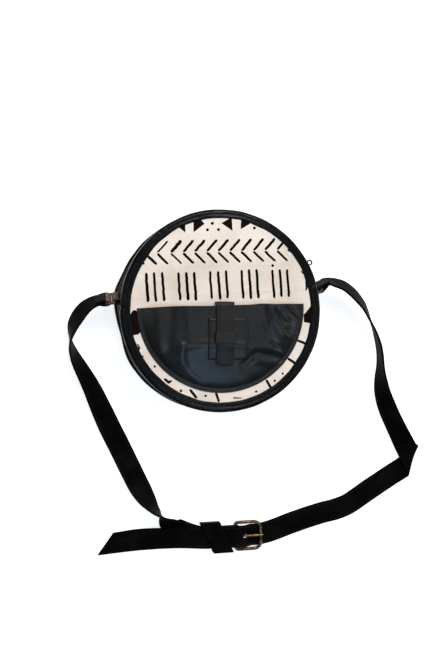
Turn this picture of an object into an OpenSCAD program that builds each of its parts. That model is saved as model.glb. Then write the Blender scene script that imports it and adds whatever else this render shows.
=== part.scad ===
// Round shoulder bag lying on its back. The origin is the middle of the back panel, +Z comes out
// of the front panel and +Y points to the top of the bag. All lengths are millimetres.

/* [Bag] */
// Outer diameter of the bag over the piping
bag_d = 226; // [200:1:260]
// Depth of the bag from back to front over the piping
bag_depth = 65; // [55:1:90]
// Turn of the zip and of the strap anchors about the bag's centre, in degrees
anchor_turn = 0; // [-5:0.5:5]
// Angle from the top of the bag to each strap anchor, in degrees
anchor_half_arc = 81; // [78:0.5:84]
// Thickness of the piping
piping_d = 8; // [5:0.5:9]
// Width of the piping's sewn edge on the cloth, from the piping's crest inward
piping_edge_w = 7.6; // [6.5:0.1:9]
// How far the piping stands proud of the side
piping_show = 2.5; // [1.5:0.1:3]

/* [Layers] */
// Thickness of the leather
leather_t = 1.5; // [1:0.1:2]
// Thickness of the printed cloth
cloth_t = 0.8; // [0.4:0.1:1.2]
// Thickness of the stiffening board
board_t = 1.5; // [1:0.1:2.5]
// Thickness of the lining
lining_t = 0.6; // [0.3:0.1:0.8]

/* [Mouth and zip] */
// Distance of the front panel's fold line from the centre
mouth_chord = 54.5; // [53.5:0.5:60]
// Width of the slot between the leather edges that the zip closes
zip_slot_w = 10.6; // [10.4:0.1:14]
// Width of each zip tape from its bead to its sewn edge
tape_w = 8; // [6:0.5:10]
// Thickness of the zip tape
tape_t = 0.8; // [0.5:0.1:1]
// Distance from one tooth to the next along a tape
tooth_pitch = 4; // [3.6:0.1:6]
// Width of a tooth along the zip
tooth_w = 1.7; // [1.2:0.1:2]
// Length of a tooth across the zip
tooth_l = 3.4; // [3:0.1:3.6]
// Thickness of a tooth through the zip
tooth_t = 2.6; // [2.2:0.1:2.8]
// Length of the slider along the zip
slider_l = 13; // [10:0.5:14]
// Width of the slider across the zip
slider_w = 9.8; // [9.6:0.1:10]
// Thickness of the slider's plates
slider_plate_t = 1.2; // [0.8:0.1:1.4]
// Place of the closed slider, in degrees before the fold line's own end
slider_rest = 25.5; // [24.5:0.1:25.6]
// Length of the zip pull from its hinge to its end
pull_l = 12; // [11.5:0.5:18]
// Diameter of the ring at the end of the zip pull
pull_ring_d = 7; // [6:0.2:7]

/* [Pocket and closure] */
// Radius of the half round pocket
pocket_r = 94; // [85:1:98]
// Place of the pocket's centre to the right of the bag's
pocket_shift = -0.5; // [-2:0.1:2]
// Place of the pocket's centre above the bag's
pocket_rise = 3; // [0:0.1:4]
// Height of the pocket's open edge above the bag's centre
pocket_top = 5.7; // [0:0.1:8]
// How far the pocket bulges
pocket_bulge = 8; // [7:0.5:10]
// Width of the pocket's sewn rim
pocket_rim_w = 5; // [4:0.5:7]
// Width of the stitched patch under the closure
patch_w = 45; // [40:1:50]
// Height of the stitched patch
patch_h = 46; // [40:1:48]
// Width of the closure strap
closure_w = 20; // [16:0.5:21]
// Length of the closure strap over the pocket
closure_l = 67; // [60:1:69]
// Radius of the closure strap's rounded corners
closure_corner_r = 5; // [3:0.5:8]
// Width of the loop that holds the closure strap, along the strap
closure_loop_w = 12; // [8:0.5:14]

/* [Rings] */
// Thickness of the ring's wire
ring_wire_d = 3.2; // [2.6:0.1:3.6]
// Width of the ring inside, along its bar
ring_in_w = 26; // [25.8:0.1:30]
// Opening of the ring between its bars
ring_gap = 6.5; // [6.2:0.1:8]
// Lean of the left ring and its tab about the line out of the bag, in degrees
ring_tilt_left = 22; // [10:1:25]
// Lean of the right ring and its tab the other way, in degrees
ring_tilt_right = 12; // [5:1:20]
// Swing of the left ring where it rests, in degrees
ring_rest_left = 15; // [8:1:18]
// Swing of the right ring where it rests, in degrees
ring_rest_right = 28; // [20:1:35]

/* [Strap] */
// Width of the shoulder strap
strap_w = 25; // [22:0.5:25.4]
// Thickness of the shoulder strap
strap_t = 2.2; // [1.8:0.1:2.4]
// Length of the buckle frame along the strap
frame_l = 34; // [32:0.5:36]
// Inner width of the buckle frame across the strap
frame_in_w = 27; // [26:0.5:30]
// Thickness of the buckle frame's wire
frame_wire_d = 4; // [3:0.1:4.2]
// Thickness of the buckle's prong
prong_d = 2.6; // [2:0.1:2.8]
// Length of the strap's sliding loop along the strap
keeper_l = 24; // [12:0.5:24]
// Radius of the buckle frame's far corners
frame_corner_r = 8; // [6:0.5:10]

/* [Hidden] */
$fn = 96;

// Gap between layers that lie on one another
layer_gap = 0.1;
// Gap between pieces that are sewn or set side by side
seam_gap = 0.3;
// Clearance round pieces that move past others
move_gap = 0.3;
// Running clearance of a pin in its eye
pin_gap = 0.1;
// Overrun of a cutting body past what it cuts
cut = 1;

piping_r = piping_d / 2;
piping_ring_r = bag_d / 2 - piping_r;
gusset_out_r = bag_d / 2 - piping_show;
gusset_in_r = gusset_out_r - leather_t;
tape_out_r = gusset_in_r - layer_gap;
tape_in_r = tape_out_r - tape_t;
lining_out_r = tape_out_r;
lining_in_r = lining_out_r - lining_t;
panel_r = piping_ring_r - piping_r - seam_gap;
zip_z = bag_depth / 2;
gusset_z0 = piping_d + seam_gap;
gusset_z1 = bag_depth - gusset_z0;
slot_z0 = zip_z - zip_slot_w / 2;
slot_z1 = zip_z + zip_slot_w / 2;
// How far the front panel lies below the piping's crest
front_recess = 1;
front_z = bag_depth - front_recess;
board_z = front_z - cloth_t;
front_lining_z = board_z - board_t;
arc_start = 90 - anchor_half_arc;
arc_end = 90 + anchor_half_arc;
// Arc at each end of the zip where the leather closes over it
end_cover_l = 8;
end_cover_arc = arc_of(end_cover_l, gusset_out_r);

function arc_of(l, r) = l / r * 180 / PI;
function mirrored_arcs(a0, a1) = [[a0, a1], [180 - a1, 180 - a0]];

// Band of the bag's round side between two radii, two angles and two heights
module band(r0, r1, a0, a1, z0, z1) {
    translate([0, 0, z0])
        rotate([0, 0, a0])
            rotate_extrude(angle = a1 - a0)
                translate([r0, 0]) square([r1 - r0, z1 - z0]);
}

module disc(r, z0, z1) {
    translate([0, 0, z0]) cylinder(r = r, h = z1 - z0);
}

module piping_ring(z) {
    translate([0, 0, z])
        rotate_extrude()
            translate([piping_ring_r, 0]) circle(r = piping_r);
}

// Thickness of the piping's sewn edge where it lies on the cloth
piping_edge_t = 0.7;

module front_piping_ring() {
    piping_ring(bag_depth - piping_r);
    band(piping_ring_r - piping_edge_w, piping_ring_r, 0, 360, front_z + layer_gap,
        front_z + layer_gap + piping_edge_t);
}

// The zip, the anchors and the fold line share one turned frame
module turned() {
    rotate([0, 0, anchor_turn]) children();
}

// Keeps what lies on the mouth's side of the fold line
module mouth_side() {
    intersection() {
        children();
        translate([-bag_d, mouth_chord + seam_gap / 2, -bag_depth])
            cube([2 * bag_d, bag_d, 3 * bag_depth]);
    }
}

// Keeps what lies on the body's side of the fold line
module body_side() {
    difference() {
        children();
        translate([-bag_d, mouth_chord - seam_gap / 2, -bag_depth])
            cube([2 * bag_d, bag_d, 3 * bag_depth]);
    }
}

module back_panel() {
    color("#15161a") disc(panel_r, 0, leather_t);
}

module back_board() {
    color("#8a7a63") disc(panel_r, leather_t, leather_t + board_t);
}

module back_lining() {
    color("#2b2622") disc(panel_r, leather_t + board_t, leather_t + board_t + lining_t);
}

module back_piping() {
    color("#101114") piping_ring(piping_r);
}

module lower_gusset() {
    color("#15161a")
        turned() band(gusset_in_r, gusset_out_r, arc_end, arc_start + 360, gusset_z0, gusset_z1);
}

// Half of the zip's side strip between two heights, cut away where the zip's slot is
module zip_strip(z0, z1, slot0, slot1) {
    difference() {
        band(gusset_in_r, gusset_out_r, arc_start, arc_end, z0, z1);
        band(gusset_in_r - cut, gusset_out_r + cut, arc_start + end_cover_arc,
            arc_end - end_cover_arc, slot0, slot1);
    }
}

module zip_gusset_back() {
    color("#15161a") turned() zip_strip(gusset_z0, zip_z, slot_z0, zip_z + cut);
}

module zip_gusset_front_whole() {
    zip_strip(zip_z, gusset_z1, zip_z - cut, slot_z1);
}

module zip_gusset_ends() {
    color("#15161a") turned() body_side() zip_gusset_front_whole();
}

module zip_gusset_front() {
    color("#15161a") turned() mouth_side() zip_gusset_front_whole();
}

// Height from the middle of the zip to the heads of the teeth
tooth_head = 0.65;
// Length of a tooth's solid head before its two jaws begin
tooth_head_l = 1.6;
tooth_bead = tooth_head + tooth_head_l + pin_gap;
// Height of the tape's sewn edge from the middle of the zip
tape_edge = tooth_bead + tape_w;
tooth_mid_r = tape_out_r - tape_t / 2;

module gusset_lining() {
    color("#2b2622") turned() union() {
        band(lining_in_r, lining_out_r, arc_end, arc_start + 360, gusset_z0, gusset_z1);
        band(lining_in_r, lining_out_r, arc_start, arc_end, gusset_z0,
            zip_z - tape_edge - seam_gap);
    }
}

module front_gusset_lining() {
    color("#2b2622") turned() mouth_side()
        band(lining_in_r, lining_out_r, arc_start, arc_end, zip_z + tape_edge + seam_gap,
            gusset_z1);
}

module front_panel_lower() {
    color("#e9e2d6") turned() body_side() disc(panel_r, board_z, front_z);
}

module front_board_lower() {
    color("#8a7a63") turned() body_side() disc(panel_r, front_lining_z, board_z);
}

module front_lining_lower() {
    color("#2b2622")
        turned() body_side() disc(panel_r, front_lining_z - lining_t, front_lining_z);
}

module front_piping_lower() {
    color("#101114") turned() body_side() front_piping_ring();
}

module front_panel_upper() {
    color("#e9e2d6") turned() mouth_side() disc(panel_r, board_z, front_z);
}

module front_board_upper() {
    color("#8a7a63") turned() mouth_side() disc(panel_r, front_lining_z, board_z);
}

module front_lining_upper() {
    color("#2b2622")
        turned() mouth_side() disc(panel_r, front_lining_z - lining_t, front_lining_z);
}

module front_piping_upper() {
    color("#101114") turned() mouth_side() front_piping_ring();
}

// Half of the zip's tape, a flat band whose bead is gripped by the teeth
module tape_half(side) {
    translate([0, 0, zip_z]) mirror([0, 0, side < 0 ? 1 : 0])
        band(tape_in_r, tape_out_r, arc_start, arc_end, tooth_bead, tape_edge);
}

module zip_tape_back() {
    color("#141414") turned() tape_half(-1);
}

module zip_tape_front() {
    color("#141414") turned() mouth_side() tape_half(1);
}

module zip_tape_ends() {
    color("#141414") turned() body_side() tape_half(1);
}

// One tooth: a solid head and two jaws that grip the bead of the tape
module tooth() {
    slot = tape_t + 2 * pin_gap;
    rotate([90, 0, 0])
        translate([0, 0, -tooth_w / 2])
            linear_extrude(tooth_w)
                polygon([[-tooth_t / 2, tooth_head + tooth_head_l / 4],
                    [-tooth_t / 4, tooth_head], [tooth_t / 4, tooth_head],
                    [tooth_t / 2, tooth_head + tooth_head_l / 4],
                    [tooth_t / 2, tooth_head + tooth_l], [slot / 2, tooth_head + tooth_l],
                    [slot / 2, tooth_head + tooth_head_l], [-slot / 2, tooth_head + tooth_head_l],
                    [-slot / 2, tooth_head + tooth_l], [-tooth_t / 2, tooth_head + tooth_l]]);
}

module teeth_at(angles, side) {
    translate([0, 0, zip_z]) mirror([0, 0, side < 0 ? 1 : 0])
        for (a = angles)
            rotate([0, 0, a]) translate([tooth_mid_r, 0, 0]) tooth();
}

stop_arc = arc_of(tooth_w, tooth_mid_r);
teeth_start = arc_start + end_cover_arc + 2 * stop_arc;
tooth_step = arc_of(tooth_pitch, tooth_mid_r);
tooth_count = floor((180 - 2 * teeth_start) / tooth_step);
back_teeth = [for (i = [0 : tooth_count - 1]) teeth_start + i * tooth_step];
front_teeth = [for (a = back_teeth) a + tooth_step / 2];
// Angles at which the fold line leaves the teeth's inner and outer faces
fold_in = asin((mouth_chord + tooth_w) / (tooth_mid_r - tooth_t / 2));
fold_out = asin((mouth_chord - tooth_w) / (tooth_mid_r + tooth_t / 2));

module zip_teeth_back() {
    color("#b9a77a") turned() teeth_at(back_teeth, -1);
}

module zip_teeth_front() {
    color("#b9a77a") turned()
        teeth_at([for (a = front_teeth) if (a > fold_in && a < 180 - fold_in) a], 1);
}

module zip_teeth_ends() {
    color("#b9a77a") turned()
        teeth_at([for (a = front_teeth) if (a < fold_out || a > 180 - fold_out) a], 1);
}

// Metal stops that end the zip on both tapes
module zip_stops() {
    color("#b9a77a") turned()
        for (a = mirrored_arcs(teeth_start - 2 * stop_arc, teeth_start - stop_arc))
            band(tape_out_r + layer_gap, gusset_out_r, a[0], a[1], zip_z - tooth_l,
                zip_z + tooth_l);
}

// The slider is drawn on the radius at angle 0 and then turned to its place
slider_arc = arc_of(slider_l, gusset_out_r);
channel_in_r = tooth_mid_r - tooth_t / 2 - move_gap;
channel_out_r = tooth_mid_r + tooth_t / 2 + move_gap;
slider_top_r = channel_out_r + slider_plate_t;
flange_t = slider_w / 2 - tooth_head - tooth_l - move_gap;
lug_w = 2.4;
lug_l = 6;
pull_pin_d = 1.6;
// Height of the pull's pin over the slider's plate
pull_lift = 1.9;
pull_axis_r = slider_top_r + pull_lift;
divider_w = 0.7;
divider_l = 3;

module slider_band(r0, r1, z0, z1) {
    band(r0, r1, -slider_arc / 2, slider_arc / 2, z0, z1);
}

module zip_slider_body() {
    half_w = slider_w / 2;
    translate([0, 0, zip_z]) union() {
        slider_band(channel_out_r, slider_top_r, -half_w, half_w);
        slider_band(channel_in_r - slider_plate_t, channel_in_r, -half_w, half_w);
        for (z = [-half_w, half_w - flange_t]) {
            slider_band(tape_out_r + move_gap, channel_out_r, z, z + flange_t);
            slider_band(channel_in_r, tape_in_r - move_gap, z, z + flange_t);
        }
        band(channel_in_r, channel_out_r, -slider_arc / 2,
            -slider_arc / 2 + arc_of(divider_l, gusset_out_r), -divider_w / 2, divider_w / 2);
        translate([0, 0, -lug_w / 2]) linear_extrude(lug_w)
            difference() {
                union() {
                    polygon([[slider_top_r - slider_plate_t / 2, -lug_l / 2],
                        [slider_top_r, -lug_l / 2], [pull_axis_r, -pull_pin_d],
                        [pull_axis_r, pull_pin_d], [slider_top_r, lug_l / 2],
                        [slider_top_r - slider_plate_t / 2, lug_l / 2]]);
                    translate([pull_axis_r, 0]) circle(r = pull_pin_d);
                }
                translate([pull_axis_r, 0]) circle(r = pull_pin_d / 2 + pin_gap);
            }
    }
}

module zip_slider() {
    color("#8f8f90") turned() rotate([0, 0, slider_rest]) zip_slider_body();
}

// Pull: a pin through the slider's lug, two arms, a stem and a ring lying across the zip's height
pull_arm_t = 1.1;
pull_eye_l = 4.4;
pull_t = 1.8;

module zip_pull() {
    arm_z = lug_w / 2 + move_gap;
    ring_x = pull_l - pull_ring_d / 2;
    color("#8f8f90") turned() rotate([0, 0, slider_rest])
        translate([pull_axis_r, 0, zip_z]) union() {
            translate([0, 0, -arm_z - pull_arm_t])
                cylinder(d = pull_pin_d, h = 2 * (arm_z + pull_arm_t));
            for (z = [-arm_z - pull_arm_t, arm_z])
                translate([0, -pull_pin_d / 2, z])
                    cube([pull_eye_l, pull_pin_d, pull_arm_t]);
            translate([pull_eye_l, -pull_pin_d / 2, -arm_z - pull_arm_t])
                cube([pull_arm_t, pull_pin_d, 2 * (arm_z + pull_arm_t)]);
            difference() {
                translate([0, 0, -pull_t / 2]) union() {
                    translate([pull_eye_l, -pull_pin_d, 0])
                        cube([ring_x - pull_eye_l, 2 * pull_pin_d, pull_t]);
                    translate([ring_x, 0, 0]) cylinder(d = pull_ring_d, h = pull_t);
                }
                translate([ring_x, 0, -pull_t]) cylinder(d = pull_ring_d / 2, h = 2 * pull_t);
            }
        }
}

// Crown of the pocket: height over the panel at a share of the way to its sewn rim
pocket_in_r = pocket_r - pocket_rim_w;
crown_steps = 12;
function crown(share) = pocket_bulge * (1 - pow(share, 6));

// Slab that follows the pocket's crown between two heights over it
module crown_slab(z0, z1) {
    shares = [for (i = [0 : crown_steps]) i / crown_steps];
    translate([pocket_shift, pocket_rise, front_z])
        rotate_extrude()
            polygon(concat([for (s = shares) [s * pocket_in_r, crown(s) + z0]],
                [[pocket_r, z0], [pocket_r, z1]],
                [for (s = shares) [(1 - s) * pocket_in_r, crown(1 - s) + z1]]));
}

module pocket_panel() {
    color("#121317") intersection() {
        crown_slab(layer_gap, leather_t);
        translate([-bag_d, pocket_top - bag_d, 0]) cube([2 * bag_d, bag_d, 2 * bag_depth]);
    }
}

// The closure is set off to the right over the pocket's open edge
closure_x = 2.5;
// Lean of the closure, in degrees
closure_lean = -2;
// How far the closure strap's root stands behind the pocket's open edge
closure_root = 1;
patch_shift = 3.5;
patch_drop = 14;
patch_t = 1;
loop_drop = 30;
loop_t = 1.2;
closure_t = 2;
patch_z = leather_t + layer_gap;
closure_z = patch_z + patch_t + layer_gap;
loop_z = closure_z + closure_t + layer_gap;
loop_side = 0.4;

module closure_place() {
    translate([closure_x, pocket_top, 0]) rotate([0, 0, closure_lean]) children();
}

// Upright column over a rectangle given by its middle, top edge, width and height
module column(x, y_top, w, h) {
    translate([x - w / 2, y_top - h, 0]) cube([w, h, 2 * bag_depth]);
}

module closure_patch() {
    color("#17181c") intersection() {
        crown_slab(patch_z, patch_z + patch_t);
        closure_place() column(patch_shift, -patch_drop, patch_w, patch_h);
    }
}

module closure_loop() {
    loop_w = closure_w + 2 * (loop_side + loop_t);
    color("#0e0f12") difference() {
        intersection() {
            crown_slab(closure_z, loop_z + loop_t);
            closure_place() column(0, -loop_drop, loop_w, closure_loop_w);
        }
        intersection() {
            crown_slab(closure_z - cut, loop_z);
            closure_place()
                column(0, -loop_drop + cut, closure_w + 2 * loop_side, closure_loop_w + 2 * cut);
        }
    }
}

module closure_outline() {
    side = closure_w / 2;
    corner = side - closure_corner_r;
    translate([-side, closure_corner_r - closure_l])
        square([closure_w, closure_l - closure_corner_r + closure_root]);
    translate([-corner, -closure_l]) square([2 * corner, closure_l]);
    for (x = [-corner, corner])
        translate([x, closure_corner_r - closure_l]) circle(r = closure_corner_r);
}

module closure_strap() {
    color("#121317") union() {
        intersection() {
            crown_slab(closure_z, closure_z + closure_t);
            closure_place() linear_extrude(2 * bag_depth) closure_outline();
        }
        closure_place() translate([-closure_w / 2, closure_root, front_z])
            cube([closure_w, closure_t, crown(0) + closure_z + closure_t]);
    }
}

// Rings hang on leather tabs sewn to the side. In a ring's frame +X runs out of the bag and
// +Z along the bar that the tab holds
wire_r = ring_wire_d / 2;
tab_in_r = wire_r + pin_gap;
tab_out_r = tab_in_r + leather_t;
// Reach of each ring's hinge from the side: the left tab is drawn out, the right one pushed in
tab_reach_left = 6;
tab_reach_right = 2.5;
// Room at each side of the tab inside the ring
tab_side = 0.8;
tab_w = ring_in_w - 2 * tab_side;
far_bar = ring_gap + ring_wire_d;
loop_in_r = wire_r + pin_gap;
loop_out_r = loop_in_r + strap_t;
// Distance from the ring's hinge at which its sewn strap end gives way to the free strap
loop_reach = 22;

// Places children at a ring's hinge, leaning as the tab does
module at_anchor(angle, reach, tilt) {
    turned() rotate([0, 0, angle]) translate([gusset_out_r + reach, 0, zip_z])
        rotate([tilt, 0, 0]) children();
}

module left_anchor() {
    at_anchor(arc_end, tab_reach_left, -ring_tilt_left) children();
}

module right_anchor() {
    at_anchor(arc_start, tab_reach_right, ring_tilt_right) children();
}

// Room that the free strap leaves round a ring's hinge for the sewn strap end
module loop_room() {
    translate([0, 0, -2 * strap_w]) cylinder(r = loop_reach + move_gap, h = 4 * strap_w);
}

// Tab folded round the ring's bar, its two ends running in to the bag's side
module ring_tab(reach) {
    translate([0, 0, -tab_w / 2]) linear_extrude(tab_w)
        difference() {
            union() {
                circle(r = tab_out_r);
                translate([-2 * reach, -tab_out_r]) square([2 * reach, 2 * tab_out_r]);
            }
            circle(r = tab_in_r);
            translate([-2 * reach - cut, -layer_gap / 2]) square([2 * reach + cut, layer_gap]);
        }
}

module outside_bag() {
    difference() {
        children();
        cylinder(r = gusset_out_r + layer_gap, h = bag_depth);
    }
}

module ring_tab_left() {
    color("#15161a") outside_bag() left_anchor() ring_tab(tab_reach_left);
}

module ring_tab_right() {
    color("#15161a") outside_bag() right_anchor() ring_tab(tab_reach_right);
}

// Round wire bent to a rectangle in the XZ plane, its first bar on the Z axis, with one radius
// for the corners beside that bar and one for the far corners
module wire_loop(l, w, r, near_r, far_r) {
    for (z = [-w / 2, w / 2])
        translate([near_r, 0, z]) rotate([0, 90, 0]) cylinder(r = r, h = l - near_r - far_r);
    translate([0, 0, near_r - w / 2]) cylinder(r = r, h = w - 2 * near_r);
    translate([l, 0, far_r - w / 2]) cylinder(r = r, h = w - 2 * far_r);
    for (c = [[l - far_r, w / 2 - far_r, 0, far_r], [near_r, w / 2 - near_r, 90, near_r],
            [near_r, near_r - w / 2, 180, near_r], [l - far_r, far_r - w / 2, 270, far_r]])
        translate([c[0], 0, c[1]]) rotate([90, 0, 0])
            rotate([0, 0, c[2]]) rotate_extrude(angle = 90) translate([c[3], 0]) circle(r = r);
}

module ring_body() {
    wire_loop(far_bar, ring_in_w + ring_wire_d, wire_r, wire_r + pin_gap, wire_r + pin_gap);
}

module ring_left() {
    color("#8c6f45") left_anchor() rotate([0, 0, ring_rest_left]) ring_body();
}

module ring_right() {
    color("#8c6f45") right_anchor() rotate([0, 0, ring_rest_right]) ring_body();
}

// Strap end folded round the ring's far bar and sewn to itself
module strap_loop() {
    translate([0, 0, -strap_w / 2]) linear_extrude(strap_w)
        difference() {
            intersection() {
                union() {
                    translate([far_bar, 0]) circle(r = loop_out_r);
                    polygon([[far_bar, -loop_out_r], [loop_reach - strap_w / 5, -strap_t],
                        [2 * loop_reach, -strap_t], [2 * loop_reach, strap_t],
                        [loop_reach - strap_w / 5, strap_t], [far_bar, loop_out_r]]);
                }
                circle(r = loop_reach);
            }
            translate([far_bar, 0]) circle(r = loop_in_r);
            polygon([[far_bar, -loop_in_r], [far_bar + 2 * loop_out_r, 0],
                [far_bar, loop_in_r]]);
        }
}

module strap_loop_left() {
    color("#101114") left_anchor() rotate([0, 0, ring_rest_left]) strap_loop();
}

module strap_loop_right() {
    color("#101114") right_anchor() rotate([0, 0, ring_rest_right]) strap_loop();
}

// Routes of the free strap: x, y and z of its middle line and its roll about it in degrees,
// where 0 lies flat and 90 stands on edge
left_route = [[-126, 16.8, 31.5, 68], [-134.4, 15.6, 31, 68], [-143.2, 12, 29, 64],
    [-151, 5.6, 27, 58], [-158, -2.9, 24, 58], [-163, -12.3, 21, 68], [-165, -22, 17, 86],
    [-164, -34, 14, 106], [-159, -48, 12, 122], [-151, -64, 10.5, 134], [-142, -82.3, 8, 146],
    [-133, -104, 5, 160], [-123, -127.3, 1.5, 176], [-112, -151.3, 1.4, 180],
    [-101, -176, 1.4, 180], [-91.5, -195.5, 2.2, 176], [-82.5, -210, 5.5, 160],
    [-74.5, -221.5, 9.5, 130], [-68, -230, 12.4, 98], [-62.5, -237, 10.8, 55],
    [-55.5, -243.8, 5.9, 23], [-46.5, -249.3, 3.1, 8], [-37, -253.8, 2.5, 4],
    [-27.5, -257.3, 2.5, 1], [-18, -259.3, 2.5, 0], [-10, -259.3, 2.5, 0]];
right_route = [[113, 18.8, 32.5, 102], [121, 24.8, 32.5, 102], [129, 30.3, 32.3, 103],
    [140, 28.9, 31.5, 105], [150.2, 25.2, 30.5, 107], [159.8, 18.4, 29.5, 108],
    [168, 9.5, 28, 107], [174.7, 0, 26.5, 104], [181.4, -13.9, 24, 100],
    [187.5, -28.1, 21.5, 96], [192.1, -42.5, 19, 93], [194.5, -56.5, 17, 90.5],
    [195.2, -70.4, 15, 87], [195.5, -84.2, 13.2, 74], [196.9, -98.2, 12.3, 61],
    [200.6, -112.2, 11, 50], [205.9, -126.5, 10, 44], [212.2, -140.2, 9.7, 42],
    [219, -150.8, 9.8, 43], [225, -160.3, 9.9, 45], [229, -171, 9.8, 45], [227, -182, 9.2, 40],
    [220, -191.6, 6, 22], [210, -199.3, 1.5, 4], [201, -204, 1.3, 0], [189, -209.9, 1.3, 0],
    [178, -216.6, 1.3, 0], [166, -224.3, 1.3, 0], [153, -230.9, 1.3, 0], [138, -235.8, 1.3, 0],
    [122, -238.8, 1.3, 0], [104, -243.3, 1.3, 0], [86, -248.3, 1.3, 0], [70, -253.3, 1.3, 0],
    [56, -257.3, 1.3, 0], [44, -259.3, 1.3, 0], [37, -259.3, 1.6, 0], [32.5, -259.3, 6, 0],
    [27, -259.3, 11.6, 0], [17, -259.3, 12.3, 0], [7, -259.3, 10.4, 0], [-1, -259.3, 8.4, 0],
    [-10, -259.3, 7.6, 0], [-20, -259.2, 7.2, 0], [-32, -258.3, 6.7, -5],
    [-47, -257.2, 6.9, -9], [-62, -256.8, 7.2, -12], [-76, -256.6, 6.2, -9], [-96, -257, 4, -5],
    [-114, -258.4, 2.4, -2], [-130, -259.8, 1.3, 0], [-150, -261, 1.3, 0]];

// One step of the routes, and the two ring hinges as they stand in them
route_unit = 1;
left_start = [-115.07, 18.22, 32.5];
right_start = [111.61, 17.68, 32.5];
// Number of points over which a route follows its ring's hinge
tied_points = 12;
function hinge_at(angle, reach) = [(gusset_out_r + reach) * cos(angle + anchor_turn),
    (gusset_out_r + reach) * sin(angle + anchor_turn), zip_z];
function place(p) = [p[0], p[1], p[2]];
function hold(i) = let (t = max(1 - i / tied_points, 0)) t * t * (3 - 2 * t);
// A route in millimetres, its start carried along with its ring's hinge
function tied(route, start, hinge) = [for (i = [0 : len(route) - 1])
    concat(route_unit * place(route[i]) + hold(i) * (hinge - route_unit * start), [route[i][3]])];

// Point and roll on a smooth curve through a route, a share t of the way from point i to i + 1
function route_at(route, i, t) =
    let (last = len(route) - 1, a = route[max(i - 1, 0)], b = route[i],
        c = route[min(i + 1, last)], d = route[min(i + 2, last)])
    0.5 * (2 * b + (c - a) * t + (2 * a - 5 * b + 4 * c - d) * t * t
        + (3 * b - 3 * c + d - a) * t * t * t);
function route_points(route, steps) =
    concat([for (i = [0 : len(route) - 2], k = [0 : steps - 1]) route_at(route, i, k / steps)],
        [route[len(route) - 1]]);
function unit(v) = v / norm(v);
// Four corners of the strap's section at one point, never below the surface it lies on
function section(p, along) =
    let (flat = unit([-along[1], along[0], 0]), up = unit(cross(along, flat)),
        s = (flat * cos(p[3]) + up * sin(p[3])) * strap_w / 2,
        n = (up * cos(p[3]) - flat * sin(p[3])) * strap_t / 2,
        low = abs(s[2]) + abs(n[2]) + layer_gap,
        mid = [p[0], p[1], max(p[2], low)])
    [mid + s + n, mid - s + n, mid - s - n, mid + s - n];

module strap_run(route, steps) {
    points = route_points(route, steps);
    last = len(points) - 1;
    corners = [for (i = [0 : last])
        let (before = place(points[max(i - 1, 0)]), after = place(points[min(i + 1, last)]))
        each section(points[i], unit(after - before))];
    sides = [for (i = [0 : last - 1], k = [0 : 3])
        let (a = 4 * i + k, b = 4 * i + (k + 1) % 4)
        each [[a, b, b + 4], [a, b + 4, a + 4]]];
    caps = [[0, 3, 2], [0, 2, 1], [4 * last, 4 * last + 1, 4 * last + 2],
        [4 * last, 4 * last + 2, 4 * last + 3]];
    polyhedron(points = corners, faces = concat(sides, caps));
}

strap_y = -259.3;
chape_end = -18;

module strap_left() {
    color("#101114") difference() {
        strap_run(tied(left_route, left_start, hinge_at(arc_end, tab_reach_left)), 2);
        left_anchor() loop_room();
        translate([chape_end, strap_y - strap_w, -cut]) cube([strap_w, 2 * strap_w, strap_w]);
    }
}

// Buckle: the strap's left part is folded round the heel bar, and the right part comes up
// through the frame, over that bar and through the sliding loop
heel_x = 17;
frame_r = frame_wire_d / 2;
chape_z0 = 1.4;
chape_in_r = frame_r + pin_gap;
chape_out_r = chape_in_r + strap_t;
heel_z = chape_z0 + chape_out_r;
prong_slot_w = 4.6;
prong_eye_w = 3.8;
prong_eye_t = 1.2;
prong_eye_r = frame_r + pin_gap + prong_eye_t;
prong_z = heel_z + frame_r + pin_gap + prong_d / 2;
// Highest swing of the prong under the strap that it holds, in degrees
prong_swing = 8;
// Place of the free end and the slant of its cut, in degrees
tail_x = -134;
tail_slant = 40;

module across_strap(w) {
    translate([0, strap_y + w / 2, 0]) rotate([90, 0, 0]) linear_extrude(w) children();
}

module prong_room() {
    far_x = heel_x + frame_l + cut;
    across_strap(prong_d + 2 * move_gap)
        polygon([[heel_x + chape_out_r, prong_z - prong_d / 2 - move_gap],
            [far_x, prong_z - prong_d / 2 - move_gap],
            [far_x, prong_z + prong_d / 2 + move_gap + frame_l * tan(prong_swing)],
            [heel_x + chape_out_r, prong_z + prong_d / 2 + move_gap
                + chape_out_r * tan(prong_swing)]]);
}

module strap_right() {
    color("#101114") difference() {
        strap_run(tied(right_route, right_start, hinge_at(arc_start, tab_reach_right)), 2);
        right_anchor() loop_room();
        prong_room();
        translate([tail_x, strap_y, -cut]) rotate([0, 0, 90 - tail_slant])
            translate([-strap_w, 0, 0]) cube([3 * strap_w, strap_w, strap_w]);
    }
}

module buckle_chape() {
    top = chape_z0 + 2 * strap_t;
    color("#101114") difference() {
        across_strap(strap_w) difference() {
            union() {
                translate([heel_x, heel_z]) circle(r = chape_out_r);
                polygon([[chape_end, chape_z0], [heel_x, chape_z0],
                    [heel_x, heel_z + chape_out_r], [heel_x - 4 * chape_out_r, top],
                    [chape_end, top]]);
            }
            translate([heel_x, heel_z]) circle(r = chape_in_r);
            polygon([[heel_x, heel_z - chape_in_r], [heel_x, heel_z + chape_in_r],
                [heel_x - 3 * chape_out_r, chape_z0 + strap_t]]);
        }
        translate([heel_x - 2 * chape_out_r, strap_y - prong_slot_w / 2, -cut])
            cube([4 * chape_out_r, prong_slot_w, 4 * chape_out_r]);
    }
}

module buckle_frame() {
    color("#8c6f45") translate([heel_x, strap_y, heel_z]) rotate([90, 0, 0])
        wire_loop(frame_l - frame_wire_d, frame_in_w + frame_wire_d, frame_r, frame_wire_d,
            frame_corner_r);
}

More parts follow.
